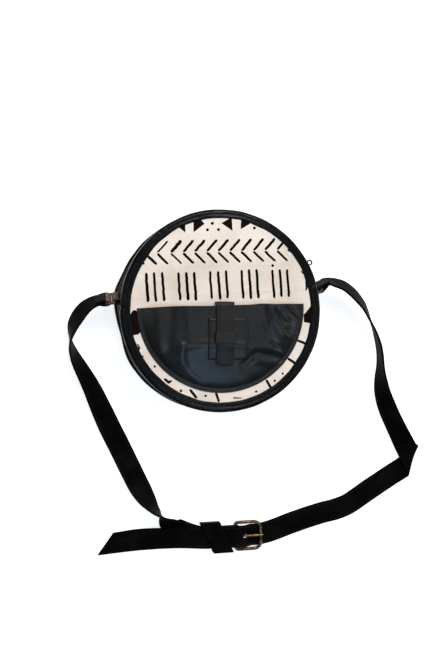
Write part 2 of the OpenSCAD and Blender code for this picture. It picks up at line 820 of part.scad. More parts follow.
module buckle_prong() {
    shank_l = frame_l - frame_wire_d + frame_r;
    color("#8c6f45") translate([heel_x, strap_y, heel_z]) difference() {
        union() {
            rotate([90, 0, 0]) translate([0, 0, -prong_eye_w / 2])
                cylinder(r = prong_eye_r, h = prong_eye_w);
            translate([0, 0, prong_z - heel_z]) rotate([0, 90, 0])
                cylinder(d = prong_d, h = shank_l);
        }
        rotate([90, 0, 0]) translate([0, 0, -prong_eye_w])
            cylinder(r = frame_r + pin_gap, h = 2 * prong_eye_w);
    }
}

// Sliding loop: its leather, its room beside and over the straps, and its gap from the chape's end
keeper_t = 1.1;
keeper_side = 4.5;
keeper_in_h = 10.7;
keeper_off = 1.5;

module strap_keeper() {
    in_w = strap_w + 2 * keeper_side;
    in_z = chape_z0 - layer_gap;
    color("#101114") across_strap_x(chape_end + keeper_off, keeper_l) difference() {
        translate([-in_w / 2 - keeper_t, in_z - keeper_t])
            square([in_w + 2 * keeper_t, keeper_in_h + 2 * keeper_t]);
        translate([-in_w / 2, in_z]) square([in_w, keeper_in_h]);
    }
}

// Extrudes an outline drawn across the strap along it
module across_strap_x(x, l) {
    translate([x, strap_y, 0]) rotate([90, 0, 90]) linear_extrude(l) children();
}

back_panel();
back_board();
back_lining();
back_piping();
lower_gusset();
zip_gusset_back();
zip_gusset_ends();
gusset_lining();
front_panel_lower();
front_board_lower();
front_lining_lower();
front_piping_lower();
front_panel_upper();
front_board_upper();
front_lining_upper();
front_piping_upper();
zip_gusset_front();
front_gusset_lining();
zip_tape_back();
zip_tape_front();
zip_tape_ends();
zip_teeth_back();
zip_teeth_front();
zip_teeth_ends();
zip_stops();
zip_slider();
zip_pull();
pocket_panel();
closure_patch();
closure_loop();
closure_strap();
ring_tab_left();
ring_tab_right();
ring_left();
ring_right();
strap_loop_left();
strap_loop_right();
strap_left();
strap_right();
buckle_chape();
buckle_frame();
buckle_prong();
strap_keeper();
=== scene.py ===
import math
import random

import bmesh
import bpy
from mathutils import Matrix, Vector, geometry, kdtree, noise


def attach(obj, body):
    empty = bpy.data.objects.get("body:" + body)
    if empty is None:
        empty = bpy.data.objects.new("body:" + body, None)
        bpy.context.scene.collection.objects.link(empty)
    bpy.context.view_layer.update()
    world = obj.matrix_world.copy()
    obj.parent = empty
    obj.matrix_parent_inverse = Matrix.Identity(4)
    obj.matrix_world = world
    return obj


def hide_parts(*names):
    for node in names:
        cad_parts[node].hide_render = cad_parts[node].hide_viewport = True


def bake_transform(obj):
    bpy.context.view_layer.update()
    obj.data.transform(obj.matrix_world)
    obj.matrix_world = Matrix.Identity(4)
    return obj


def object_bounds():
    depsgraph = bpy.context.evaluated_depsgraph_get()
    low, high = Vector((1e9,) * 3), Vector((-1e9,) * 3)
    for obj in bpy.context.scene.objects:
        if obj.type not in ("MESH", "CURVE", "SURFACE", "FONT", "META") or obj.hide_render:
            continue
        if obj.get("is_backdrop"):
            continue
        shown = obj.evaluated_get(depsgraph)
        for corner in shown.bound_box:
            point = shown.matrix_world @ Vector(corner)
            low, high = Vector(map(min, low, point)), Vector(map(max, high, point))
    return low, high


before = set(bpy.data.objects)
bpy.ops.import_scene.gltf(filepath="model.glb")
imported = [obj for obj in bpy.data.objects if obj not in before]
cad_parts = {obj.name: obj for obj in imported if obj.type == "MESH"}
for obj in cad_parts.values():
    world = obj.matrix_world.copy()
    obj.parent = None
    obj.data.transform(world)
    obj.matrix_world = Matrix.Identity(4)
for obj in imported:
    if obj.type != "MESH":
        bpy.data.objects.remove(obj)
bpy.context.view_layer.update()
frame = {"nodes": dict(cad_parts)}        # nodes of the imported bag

nodes = frame["nodes"]
MM = 0.001
draw = random.Random(7)

# Sizes of the bag's solids, in millimetres, as in their source
PIPE_R = 4.0
PIPE_RING_R = 109.0
BACK_PIPE_Z = 4.0
FRONT_PIPE_Z = 61.0
GUSSET_IN_R = 109.0
GUSSET_OUT_R = 110.5
GUSSET_Z0 = 8.3
GUSSET_Z1 = 56.7
ANCHOR_LOW = 9.0
ANCHOR_HIGH = 171.0
SLOT_LOW = 13.15
SLOT_HIGH = 166.85
SLOT_Z0 = 27.2
SLOT_Z1 = 37.8
ZIP_Z = 32.5
TAPE_IN_R = 108.1
TAPE_OUT_R = 108.9
LINING_IN_R = 108.3
PANEL_R = 104.7
FRONT_Z = 64.0
POCKET_R = 94.0
POCKET_X = -0.5
POCKET_Y = 3.0
POCKET_TOP = 5.7
POCKET_BULGE = 8.0
POCKET_IN_R = 89.0
STRAP_W = 25.0
STRAP_T = 2.2
STRAP_Y = -259.3
HEEL_X = 17.0
HEEL_Z = 5.7
CHAPE_END = -18.0
CHAPE_Z0 = 1.4
RING_WIRE_R = 1.6
FAR_BAR = 9.7
LOOP_REACH = 22.0
# Each ring's distance from the bag's middle, its tilt and its swing at rest
RING_LEFT = (116.5, -22.0, 15.0)
RING_RIGHT = (113.0, 12.0, 28.0)

# Sizes of what the scene adds or rounds off, in millimetres
LEATHER_T = 1.35
STITCH_INSET = 2.6
GROUND_GAP = 0.1
BACK_IN_Z = 1.45
BACK_LINING_Z = (3.02, 3.6)
FRONT_LINING_Z = (61.1, 61.65)

# A piece that crosses a joint: its two bodies, and where a bend there would start and end in metres. The
# piece is left unbent.
MOUTH_FOLD = ("bag", "mouth", (0.0, 0.0495, 0.065), (0.0, 0.0595, 0.065))
LEFT_BEND = ("bag", "left_ring", (-0.160, -0.009, 0.025), (-0.141, 0.014, 0.03))
RIGHT_BEND = ("bag", "right_ring", (0.164, 0.0132, 0.028), (0.1588, 0.0306, 0.028))


# Materials

BLACK = (0, 0, 0, 1)
WHITE = (1, 1, 1, 1)


def srgb(colour):
    """Linear colour of a surface seen as these red, green and blue values from 0 to 255."""
    out = []
    for v in colour:
        v /= 255
        out.append(v / 12.92 if v <= 0.04045 else ((v + 0.055) / 1.055) ** 2.4)
    return (*out, 1.0)


def add_node(tree, kind, inputs=None, **settings):
    """A new node with its settings made, and each input given a value or joined to a socket."""
    node = tree.nodes.new(kind)
    for key, value in settings.items():
        setattr(node, key, value)
    for key, value in (inputs or {}).items():
        if isinstance(value, bpy.types.NodeSocket):
            tree.links.new(value, node.inputs[key])
        else:
            node.inputs[key].default_value = value
    return node


def colour_ramp(tree, fac, stops):
    """Colour that runs through stops of (place, colour)."""
    node = add_node(tree, "ShaderNodeValToRGB", {"Fac": fac})
    band = node.color_ramp
    while len(band.elements) < len(stops):
        band.elements.new(0.5)
    for element, (at, colour) in zip(band.elements, stops):
        element.position = at
        element.color = colour
    return node.outputs["Color"]


class Shader:
    """A node material with one Principled shader and short ways to add what feeds it."""

    def __init__(self, name):
        self.material = bpy.data.materials.new(name)
        self.material.use_nodes = True
        self.tree = self.material.node_tree
        self.surface = self.tree.nodes["Principled BSDF"]
        self.place = self.add("ShaderNodeTexCoord").outputs["Object"]

    def add(self, kind, inputs=None, **settings):
        return add_node(self.tree, kind, inputs, **settings)

    def ramp(self, fac, stops):
        return colour_ramp(self.tree, fac, stops)

    def feed(self, name, output):
        self.tree.links.new(output, self.surface.inputs[name])

    def put(self, **values):
        for key, value in values.items():
            self.surface.inputs[key.replace("_", " ")].default_value = value

    def stretched(self, scale):
        return self.add("ShaderNodeMapping", {"Scale": scale, "Vector": self.place}).outputs["Vector"]

    def noise(self, scale, detail=3.0, rough=0.55, place=None):
        inputs = {"Scale": scale, "Detail": detail, "Roughness": rough, "Vector": place or self.place}
        return self.add("ShaderNodeTexNoise", inputs).outputs["Fac"]

    def pores(self, scale):
        inputs = {"Scale": scale, "Vector": self.place}
        return self.add("ShaderNodeTexVoronoi", inputs, feature="SMOOTH_F1").outputs["Distance"]

    def threads(self, direction, scale, distortion):
        inputs = {"Scale": scale, "Distortion": distortion, "Detail": 2.0, "Detail Scale": 1.4,
                  "Vector": self.place}
        return self.add("ShaderNodeTexWave", inputs, bands_direction=direction).outputs["Fac"]

    def weave(self, warp, weft, distortion):
        """Threads both ways, the upper one showing."""
        across = self.threads("X", warp, distortion)
        return self.math("MAXIMUM", across, self.threads("Y", weft, distortion))

    def math(self, operation, a, b):
        return self.add("ShaderNodeMath", {0: a, 1: b}, operation=operation).outputs["Value"]

    def mixed(self, fac, a, b, blend="MIX"):
        return self.add("ShaderNodeMixRGB", {0: fac, 1: a, 2: b}, blend_type=blend).outputs[0]

    def mask(self, fac, start, full):
        return self.ramp(fac, [(start, BLACK), (full, WHITE)])

    def shaded(self, amount, base, height, low, dark, high):
        """The base colour, darkened where the texture is low."""
        return self.mixed(amount, base, self.ramp(height, [(low, (*dark, 1)), (high, WHITE)]), "MULTIPLY")

    def roughness(self, fac, low, high):
        node = self.add("ShaderNodeMapRange", {"To Min": low, "To Max": high, "Value": fac})
        self.feed("Roughness", node.outputs["Result"])

    def bump(self, *heights):
        """Adds each (height, depth in metres, strength) on top of the last."""
        below = {}
        for height, depth, strength in heights:
            inputs = {"Distance": depth, "Strength": strength, "Height": height, **below}
            node = self.add("ShaderNodeBump", inputs)
            below = {"Normal": node.outputs["Normal"]}
        self.feed("Normal", node.outputs["Normal"])

    def worn_edges(self, base, light, start=0.53, full=0.62):
        """Lightens, in patches, where the surface turns sharply."""
        edge = self.mask(self.add("ShaderNodeNewGeometry").outputs["Pointiness"], start, full)
        patchy = self.mask(self.noise(420.0, 4.0, 0.6), 0.42, 0.62)
        return self.mixed(self.mixed(1.0, edge, patchy, "MULTIPLY"), base, light)


def leather(name, dark, mid, light, rough, specular, grain=900.0, depth=0.00006, crease=0.0003):
    """Grained leather, lighter where it is worn. Its grain's depth and its creases' are in metres."""
    s = Shader(name)
    base = s.ramp(s.noise(38.0, 4.0, 0.6), [(0.32, srgb(dark)), (0.5, srgb(mid)), (0.72, srgb(light))])
    pores = s.pores(grain)
    fine = s.noise(grain * 2.2, 3.0, 0.6)
    creases = s.noise(160.0, 5.0, 0.62, s.stretched((1.0, 2.4, 1.6)))
    base = s.shaded(0.35, base, pores, 0.2, (0.45, 0.45, 0.45), 0.75)
    s.feed("Base Color", s.worn_edges(base, srgb(light)))
    s.roughness(s.noise(70.0, 4.0, 0.6), rough - 0.1, rough + 0.12)
    s.bump((creases, crease, 0.35), (pores, depth, 0.55), (fine, depth * 0.4, 0.4))
    s.put(Specular_IOR_Level=specular)
    return s.material


def woven(name, dark, light, thread, rough=0.85, sheen=0.1, depth=0.00012):
    """Plain close weave."""
    s = Shader(name)
    tone = s.noise(26.0, 4.0, 0.6)
    base = s.ramp(tone, [(0.3, srgb(dark)), (0.7, srgb(light))])
    weave = s.weave(thread, thread, 0.8)
    s.feed("Base Color", s.shaded(0.5, base, weave, 0.35, (0.8, 0.8, 0.8), 0.85))
    s.roughness(tone, rough - 0.06, rough + 0.06)
    s.bump((weave, depth, 0.5), (s.noise(1500.0, 3.0), depth * 0.5, 0.4))
    s.put(Sheen_Weight=sheen, Specular_IOR_Level=0.2)
    return s.material


def metal(name, dark, mid, light, rough):
    """Tarnished metal, brighter on its edges."""
    s = Shader(name)
    base = s.ramp(s.noise(240.0, 5.0, 0.65), [(0.3, srgb(dark)), (0.5, srgb(mid)), (0.72, srgb(light))])
    s.feed("Base Color", s.worn_edges(base, srgb(light), 0.51, 0.58))
    s.roughness(s.noise(520.0, 3.0, 0.6), rough - 0.1, rough + 0.14)
    s.bump((s.noise(900.0, 3.0, 0.6), 0.00005, 0.35))
    s.put(Metallic=1.0)
    return s.material


def printed_cloth(name, dark, light, fleck, sheen=0.08, specular=0.15):
    """Hand woven cotton: uneven threads both ways, slubs, stains and flecks of another colour."""
    s = Shader(name)
    stain = s.noise(17.0, 4.0, 0.55)
    base = s.ramp(stain, [(0.3, srgb(dark)), (0.62, srgb(light))])
    weave = s.weave(330.0, 300.0, 1.6)
    slub_x = s.noise(90.0, 3.0, 0.6, s.stretched((0.25, 7.0, 1.0)))
    slub_y = s.noise(90.0, 3.0, 0.6, s.stretched((7.0, 0.25, 1.0)))
    slub = s.math("MULTIPLY", slub_x, slub_y)
    base = s.shaded(0.6, base, weave, 0.3, (0.86, 0.85, 0.84), 0.8)
    base = s.shaded(0.3, base, slub, 0.16, (0.86, 0.84, 0.81), 0.3)
    specks = s.mask(s.math("MULTIPLY", s.noise(1300.0, 4.0, 0.7), weave), 0.6, 0.6 + 0.12)
    base = s.mixed(s.mixed(1.0, specks, (0.6, 0.6, 0.6, 1.0), "MULTIPLY"), base, srgb(fleck))
    s.feed("Base Color", base)
    s.roughness(stain, 0.84, 0.95)
    s.bump((slub, 0.0007, 0.6), (weave, 0.0003, 0.6), (s.noise(1700.0, 3.0), 0.00012, 0.45))
    s.put(Sheen_Weight=sheen, Specular_IOR_Level=specular)
    return s.material


bag_leather = leather("bag_leather", (7, 7, 8), (10, 10, 11), (17, 17, 19), 0.5, 0.02)
pocket_leather = leather("pocket_leather", (13, 13, 12), (17, 17, 17), (22, 23, 24), 0.31, 0.27,
                         1000.0, 0.00003, 0.0004)
tab_leather = leather("tab_leather", (20, 19, 18), (27, 25, 24), (38, 36, 34), 0.46, 0.2)
piping_leather = leather("piping_leather", (5, 5, 6), (8, 8, 9), (14, 14, 16), 0.15, 0.1,
                         1100.0, 0.00003, 0.0014)
# Brown leather for the left ring's tab and the strap's end round that ring, where the right ones are black
brown_leather = leather("brown_leather", (42, 27, 21), (84, 62, 52), (146, 122, 108), 0.55, 0.15,
                       500.0, 0.0002)
strap_leather = leather("strap_leather", (6, 5, 5), (10, 9, 8), (22, 18, 15), 0.44, 0.01, 800.0)
raw_edge = leather("raw_edge", (48, 36, 28), (66, 50, 39), (90, 72, 58), 0.7, 0.1, 1400.0)
thread_black = woven("thread_black", (10, 10, 11), (22, 22, 24), 2600.0, 0.75, 0.05, 0.00005)
cloth_light = printed_cloth("cloth_light", (230, 213, 198), (252, 239, 226), (198, 181, 166))
cloth_ink = printed_cloth("cloth_ink", (13, 9, 7), (25, 18, 14), (74, 62, 52), 0.0, 0.02)
lining_cloth = woven("lining_cloth", (46, 44, 44), (60, 58, 57), 900.0)
tape_cloth = woven("tape_cloth", (16, 16, 17), (26, 26, 28), 1100.0)
board_card = woven("board_card", (150, 140, 122), (172, 162, 144), 700.0, 0.9, 0.0)
zip_metal = metal("zip_metal", (104, 102, 99), (140, 138, 134), (186, 184, 180), 0.36)
slider_metal = metal("slider_metal", (34, 34, 35), (52, 52, 53), (96, 96, 97), 0.4)
ring_brass = metal("ring_brass", (42, 31, 25), (72, 54, 44), (132, 110, 92), 0.42)
brass = metal("antique_brass", (56, 40, 27), (90, 67, 45), (152, 124, 88), 0.38)


# Meshes


def ripple(p, size, seed=0.0):
    """Smooth noise from -1 to 1 at a point in millimetres, with features of about that size."""
    return noise.noise(Vector((p[0] / size + seed, p[1] / size - seed, p[2] / size + 2 * seed)))


def smooth_step(low, high, v):
    """Rises smoothly from 0 at low to 1 at high."""
    t = min(max((v - low) / (high - low), 0.0), 1.0)
    return t * t * (3 - 2 * t)


def rotated(p, degrees):
    a = math.radians(degrees)
    c, s = math.cos(a), math.sin(a)
    return (p[0] * c - p[1] * s, p[0] * s + p[1] * c)


def make(name, points, faces, material, closed=True):
    """A mesh object from points in millimetres. The faces of a closed one are turned outward."""
    mesh = bpy.data.meshes.new(name)
    mesh.from_pydata([(p[0] * MM, p[1] * MM, p[2] * MM) for p in points], [], faces)
    obj = bpy.data.objects.new(name, mesh)
    bpy.context.scene.collection.objects.link(obj)
    mesh.materials.append(material)
    if closed:
        work = bmesh.new()
        work.from_mesh(mesh)
        bmesh.ops.recalc_face_normals(work, faces=work.faces)
        work.to_mesh(mesh)
        work.free()
    mesh.polygons.foreach_set("use_smooth", [True] * len(mesh.polygons))
    mesh.update()
    return obj


def loft(name, sections, material, ring=False):
    """Skin over closed sections with the same number of points, capped unless they form a ring."""
    n = len(sections[0])
    count = len(sections)
    points = [p for s in sections for p in s]
    faces = []
    for i in range(count if ring else count - 1):
        j = (i + 1) % count
        for k in range(n):
            m = (k + 1) % n
            faces.append((i * n + k, i * n + m, j * n + m, j * n + k))
    if not ring:
        faces.append(tuple(reversed(range(n))))
        faces.append(tuple((count - 1) * n + k for k in range(n)))
    return make(name, points, faces, material)


def outline(w, t, r, across=8, arc=3):
    """Points round a flat bar's section, w wide and t thick, with corners of radius r."""
    points = []
    half_w, half_t = w / 2, t / 2
    r = min(r, half_t * 0.98)
    for cx, cy, start in ((half_w - r, half_t - r, 0), (r - half_w, half_t - r, 90),
                          (r - half_w, r - half_t, 180), (half_w - r, r - half_t, 270)):
        for k in range(arc + 1):
            a = math.radians(start + 90 * k / arc)
            points.append((cx + r * math.cos(a), cy + r * math.sin(a)))
        if start in (0, 180):
            sign = -1 if start == 0 else 1
            y = half_t if start == 0 else -half_t
            for k in range(1, across):
                points.append((-sign * (half_w - r) + sign * (w - 2 * r) * k / across, y))
    return points


def sweep(name, frames, section, material, ring=False, warp=None):
    """Carries a section along frames of (middle, side, normal). warp moves its points."""
    sections = []
    for mid, side, normal in frames:
        line = []
        for u, v in section:
            if warp:
                u, v = warp(u, v, mid)
            line.append(mid + side * u + normal * v)
        sections.append(line)
    return loft(name, sections, material, ring)


def band(name, profile, a0, a1, material, warp=None, step=1.0):
    """Carries a closed (radius, z) profile round the bag from angle a0 to a1, in degrees."""
    ring = a1 - a0 >= 360
    count = max(int((a1 - a0) / step), 2)
    sections = []
    for i in range(count if ring else count + 1):
        a = a0 + (a1 - a0) * i / count
        line = []
        for r, z in profile:
            if warp:
                r, z = warp(a, r, z)
            x, y = rotated((r, 0.0), a)
            line.append(Vector((x, y, z)))
        sections.append(line)
    return loft(name, sections, material, ring)


def wall(r0, r1, z0, z1, rows=14, corner=0.5):
    """Closed profile of a thin upright wall with eased corners, split along its height."""
    out = []
    zs = [z0 + corner + (z1 - z0 - 2 * corner) * k / rows for k in range(rows + 1)]
    out += [(r1, z) for z in zs]
    out += [(r1 - corner * 0.3, z1 - corner * 0.3), (r1 - corner, z1)]
    out += [(r0, z1)]
    out += [(r0, z) for z in reversed(zs)]
    out += [(r0, z0), (r1 - corner, z0), (r1 - corner * 0.3, z0 + corner * 0.3)]
    return out


def dress(obj, slot, motion, *nodes):
    """Attaches a piece to the body that it rides on, or bakes it in place where it would bend between two,
    and hides the solids that it stands for. The slot is not used.
    """
    if isinstance(motion, str):
        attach(obj, motion)
    else:
        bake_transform(obj)
    if nodes:
        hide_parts(*nodes)


def neighbours(path, k):
    """The points before and after point k of a path, or the point itself at an end."""
    return path[max(k - 1, 0)], path[min(k + 1, len(path) - 1)]


# Sections of a stitch: place along it, and size and height as shares of its radius
STITCH_SHAPE = ((-0.5, 0.45, -0.35), (-0.3, 1.0, 0.1), (0.0, 1.1, 0.3), (0.3, 1.0, 0.1), (0.5, 0.45, -0.35))
STITCH_SIDES = 6
STITCH_LEAN = 0.07


def add_stitch(points, faces, mid, along, out, length, r):
    """One thread from section to section, closed at both ends."""
    side = along.cross(out).normalized()
    along = (along + side * draw.uniform(-STITCH_LEAN, STITCH_LEAN)).normalized()
    side = along.cross(out).normalized()
    first = len(points)
    for place, size, lift in STITCH_SHAPE:
        for k in range(STITCH_SIDES):
            a = 2 * math.pi * k / STITCH_SIDES
            points.append(mid + along * (place * length) + side * (r * size * math.cos(a))
                          + out * (r * (size * math.sin(a) + lift)))
    last = len(points) - STITCH_SIDES
    for a in range(first, last, STITCH_SIDES):
        b = a + STITCH_SIDES
        for k in range(STITCH_SIDES):
            m = (k + 1) % STITCH_SIDES
            faces.append((a + k, a + m, b + m, b + k))
    faces.append(tuple(first + k for k in reversed(range(STITCH_SIDES))))
    faces.append(tuple(last + k for k in range(STITCH_SIDES)))


def stitches(name, lines, motion, pitch=3.4, length=2.5, r=0.32):
    """Rows of short raised threads along lines of (point, way out of the surface)."""
    points, faces = [], []
    for line in lines:
        lengths = [0.0]
        for (p, _), (q, _) in zip(line, line[1:]):
            lengths.append(lengths[-1] + (q - p).length)
        count = int(lengths[-1] / pitch)
        at = 0
        for i in range(count):
            centre = (i + 0.5) * lengths[-1] / count
            while at < len(lengths) - 2 and lengths[at + 1] < centre:
                at += 1
            share = (centre - lengths[at]) / max(lengths[at + 1] - lengths[at], 1e-6)
            p, up = line[at]
            q, up_next = line[at + 1]
            out = up.lerp(up_next, share).normalized()
            add_stitch(points, faces, p.lerp(q, share), (q - p).normalized(), out, length, r)
    dress(make(name, points, faces, thread_black), "leather_black", motion)


def cut_away(obj, boxes):
    """Removes closed shapes, given as (points, faces), from a piece."""
    for n, (points, faces) in enumerate(boxes):
        cutter = make(f"cutter_{n}", points, faces, strap_leather)
        mod = obj.modifiers.new("cut", "BOOLEAN")
        mod.operation = "DIFFERENCE"
        mod.solver = "EXACT"
        mod.object = cutter
        graph = bpy.context.evaluated_depsgraph_get()
        mesh = bpy.data.meshes.new_from_object(obj.evaluated_get(graph))
        obj.modifiers.clear()
        old = obj.data
        obj.data = mesh
        bpy.data.meshes.remove(old)
        bpy.data.objects.remove(cutter)
    obj.data.polygons.foreach_set("use_smooth", [True] * len(obj.data.polygons))


def block(x0, x1, y0, y1, z0, z1):
    """Points and faces of a box."""
    points = [Vector((x, y, z)) for x in (x0, x1) for y in (y0, y1) for z in (z0, z1)]
    return points, [(0, 1, 3, 2), (4, 6, 7, 5), (0, 4, 5, 1), (2, 3, 7, 6), (0, 2, 6, 4), (1, 5, 7, 3)]


# Back and sides


def disc_sections(r, z_low, z_high, rings=44):
    """Points and faces of a round panel, z_low and z_high giving its faces' heights at (x, y)."""
    around = 180
    points, faces = [], []
    for top in (False, True):
        height = z_high if top else z_low
        points.append(Vector((0, 0, height(0, 0))))
        for i in range(1, rings + 1):
            rr = r * i / rings
            for k in range(around):
                a = 2 * math.pi * k / around
                x, y = rr * math.cos(a), rr * math.sin(a)
                points.append(Vector((x, y, height(x, y))))
    half = len(points) // 2
    for base, flip in ((0, True), (half, False)):
        for k in range(around):
            m = (k + 1) % around
            tri = (base, base + 1 + k, base + 1 + m)
            faces.append(tuple(reversed(tri)) if flip else tri)
            for i in range(rings - 1):
                a, b = base + 1 + i * around, base + 1 + (i + 1) * around
                quad = (a + k, b + k, b + m, a + m)
                faces.append(tuple(reversed(quad)) if flip else quad)
    a, b = 1 + (rings - 1) * around, half + 1 + (rings - 1) * around
    for k in range(around):
        m = (k + 1) % around
        faces.append((a + k, a + m, b + m, b + k))
    return points, faces


def back_low(x, y):
    """Outer face of the back panel, rounded off towards its piping."""
    r = math.hypot(x, y)
    edge = smooth_step(97, PANEL_R, r)
    return 0.12 + 0.1 * ripple((x, y, 0), 22.0, 3.0) + 0.5 * edge * (1 + 0.5 * ripple((x, y, 0), 5.0, 1.0))


points, faces = disc_sections(PANEL_R, back_low, lambda x, y: BACK_IN_Z)
dress(make("back_skin", points, faces, bag_leather), "leather_black", "bag", "back_panel")

points, faces = disc_sections(PANEL_R - 0.4, lambda x, y: BACK_LINING_Z[0],
                              lambda x, y: BACK_LINING_Z[1] + 0.15 * ripple((x, y, 0), 30.0, 5.0), 30)
dress(make("back_lining_cloth", points, faces, lining_cloth), "lining", "bag", "back_lining")


EDGE_IN_R = 102.0


def piping_profile(z, sides=28):
    return [(PIPE_RING_R + PIPE_R * math.cos(2 * math.pi * k / sides),
             z + PIPE_R * math.sin(2 * math.pi * k / sides)) for k in range(sides)]


def edged_profile():
    """The front piping's cord with its sewn edge lying inward on the cloth."""
    out = []
    for k in range(27):
        a = math.radians(136 + 330 * k / 26)
        out.append((PIPE_RING_R + PIPE_R * math.cos(a), FRONT_PIPE_Z + PIPE_R * math.sin(a)))
    groove_r, groove_z = out[-1][0] - 0.5, out[-1][1] - 0.35
    for k in range(9):
        t = k / 8
        out.append((groove_r + (EDGE_IN_R - groove_r) * t,
                    groove_z + 0.45 * math.sin(math.pi * min(t * 1.1, 1.0)) - 0.1 * t))
    out.append((EDGE_IN_R - 0.15, groove_z - 0.35))
    for t in (0.0, 0.3, 0.6, 0.9):
        out.append((EDGE_IN_R + (out[0][0] - EDGE_IN_R) * t, FRONT_Z + 0.02))
    return out


# Angles of the left tab's pull, of the slack beside it and of the piping's two seams, each with its spread
TAB_PULL = (167.0, 8.0)
TAB_SLACK = (192.0, 11.0)
LEFT_SEAM = (176.5, 0.8)
RIGHT_SEAM = (13.5, 1.1)


def bell(v, middle, spread):
    """1 at the middle, fading to nothing on both sides."""
    return math.exp(-((v - middle) / spread) ** 2)


def drawn_out(a):
    """How far the strap pulls the bag's side out round its left tab, and the slack beside it."""
    return 2.6 * bell(a, *TAB_PULL) - 3.4 * bell(a, *TAB_SLACK)


def seam_dip(a):
    """Hollow where the two pieces of the front piping meet beside each tab."""
    return bell(a, *LEFT_SEAM) + bell(a, *RIGHT_SEAM)


def piping_warp(z_mid, seed):
    """Gathers the leather round its cord in short folds, deepest on the inner side."""
    def warp(a, r, z):
        x, y = rotated((r, 0.0), a)
        dr, dz = r - PIPE_RING_R, z - z_mid
        inner = 0.6 - 0.4 * dr / PIPE_R
        fold = ripple((a * 1.9 * 0.55, dr * 0.4, dz * 0.4), 1.6, seed)
        soft = ripple((x, y, z), 26.0, seed + 4)
        long_fold = ripple((a * 0.22, dr * 1.1, dz * 1.1), 2.2, seed + 8)
        if dr < -PIPE_R * 0.8 and dz > 2.0:
            share = smooth_step(PIPE_RING_R - 3.5, EDGE_IN_R, r)
            wide = 1.2 * smooth_step(18, 38, a) * (1 - smooth_step(122, 142, a))
            r += share * (wide + 0.7 * ripple((a * 0.5, 0, 0), 5.0, seed + 2) - 0.2)
            z += 0.12 * (1 - share) * fold
            return r, z
        push = -0.26 * inner * (1 + fold) * (0.4 + 0.6 * abs(soft)) + 0.2 * soft + 0.34 * long_fold
        if z_mid == FRONT_PIPE_Z:
            push -= 1.3 * seam_dip(a)
        scale = 1 + push / PIPE_R
        shift = drawn_out(a) if z_mid == BACK_PIPE_Z else 0.0
        return PIPE_RING_R + dr * scale + shift, z_mid + dz * scale
    return warp


dress(band("back_piping_cord", piping_profile(BACK_PIPE_Z), 0, 360, piping_leather,
           piping_warp(BACK_PIPE_Z, 9.0), 0.5), "piping_black", "bag", "back_piping")
dress(band("front_piping_cord", edged_profile(), 0, 360, piping_leather,
           piping_warp(FRONT_PIPE_Z, 2.0), 0.5),
      "piping_black", MOUTH_FOLD, "front_piping_lower", "front_piping_upper")


def gusset_warp(seed, swell=0.9):
    """Lets the side leather swell between its seams and wrinkle a little."""
    def warp(a, r, z):
        share = (z - GUSSET_Z0) / (GUSSET_Z1 - GUSSET_Z0)
        hump = math.sin(math.pi * min(max(share, 0), 1))
        x, y = rotated((r, 0.0), a)
        push = swell * hump * 0.6
        push += 0.4 * hump * ripple((x, y, z * 0.5), 24.0, seed)
        push += 0.12 * ripple((x, y, z * 0.7), 7.0, seed + 1)
        slump = smooth_step(272, 300, a) * (1 - smooth_step(322, 345, a))
        push += 4.0 * slump * smooth_step(0.1, 0.7, share) * (1 - smooth_step(0.86, 1.0, share))
        if r < GUSSET_OUT_R - 0.8:
            push = max(push, -0.05) * 0.5
        return r + push + drawn_out(a) * (1 - smooth_step(0.55, 1.0, share)), z
    return warp


LOW_Z = GUSSET_Z0 - 0.2
HIGH_Z = GUSSET_Z1 + 0.2
SLOT_LAP = 0.3
OVER_TOP = (ANCHOR_LOW, ANCHOR_HIGH)
UNDER_BAG = (ANCHOR_HIGH, 360 + ANCHOR_LOW)


def side_strip(name, z0, z1, rows, angles, warp, motion, *nodes, proud=0.0, step=0.9):
    """A strip of the side's leather between two heights and two angles."""
    profile = wall(GUSSET_IN_R + 0.05, GUSSET_OUT_R + proud, z0, z1, rows)
    dress(band(name, profile, *angles, bag_leather, warp, step), "leather_black", motion, *nodes)


side_strip("lower_side", LOW_Z, HIGH_Z, 26, UNDER_BAG, gusset_warp(4.0), "bag", "lower_gusset")
side_strip("zip_side_back", LOW_Z, SLOT_Z0, 12, OVER_TOP, gusset_warp(6.0, 0.4), "bag", "zip_gusset_back")
side_strip("zip_side_front", SLOT_Z1, HIGH_Z, 12, OVER_TOP, gusset_warp(8.0, 0.4), MOUTH_FOLD,
           "zip_gusset_front")
for label, angles, stands_for in (("right", (ANCHOR_LOW, SLOT_LOW), ["zip_gusset_ends"]),
                                  ("left", (SLOT_HIGH, ANCHOR_HIGH), [])):
    side_strip(f"zip_end_{label}", SLOT_Z0 - SLOT_LAP, SLOT_Z1 + SLOT_LAP, 6, angles, gusset_warp(6.0, 0.4),
               "bag", *stands_for, proud=0.1, step=0.5)

TAPE_W = 8.6
TAPE_GAP = 0.75
TAPE_ANGLES = (ANCHOR_LOW + 1, ANCHOR_HIGH - 1)
dress(band("zip_tape_back_cloth", wall(TAPE_IN_R, TAPE_OUT_R, ZIP_Z - TAPE_W, ZIP_Z - TAPE_GAP, 4, 0.2),
           *TAPE_ANGLES, tape_cloth), "zip_tape", "bag", "zip_tape_back")
dress(band("zip_tape_front_cloth", wall(TAPE_IN_R, TAPE_OUT_R, ZIP_Z + TAPE_GAP, ZIP_Z + TAPE_W, 4, 0.2),
           *TAPE_ANGLES, tape_cloth), "zip_tape", MOUTH_FOLD, "zip_tape_front", "zip_tape_ends")

LINING_Z0 = 3.7
LINING_Z1 = 61.0
LINING_GAP = 6.5
ZIP_LINING = (LINING_IN_R - 0.7, LINING_IN_R - 0.25)


def lining_warp(a, r, z):
    """Keeps the lining inside the side's slack."""
    return r + min(drawn_out(a), 0) * (1 - smooth_step(0.5, 0.95, z / GUSSET_Z1)), z


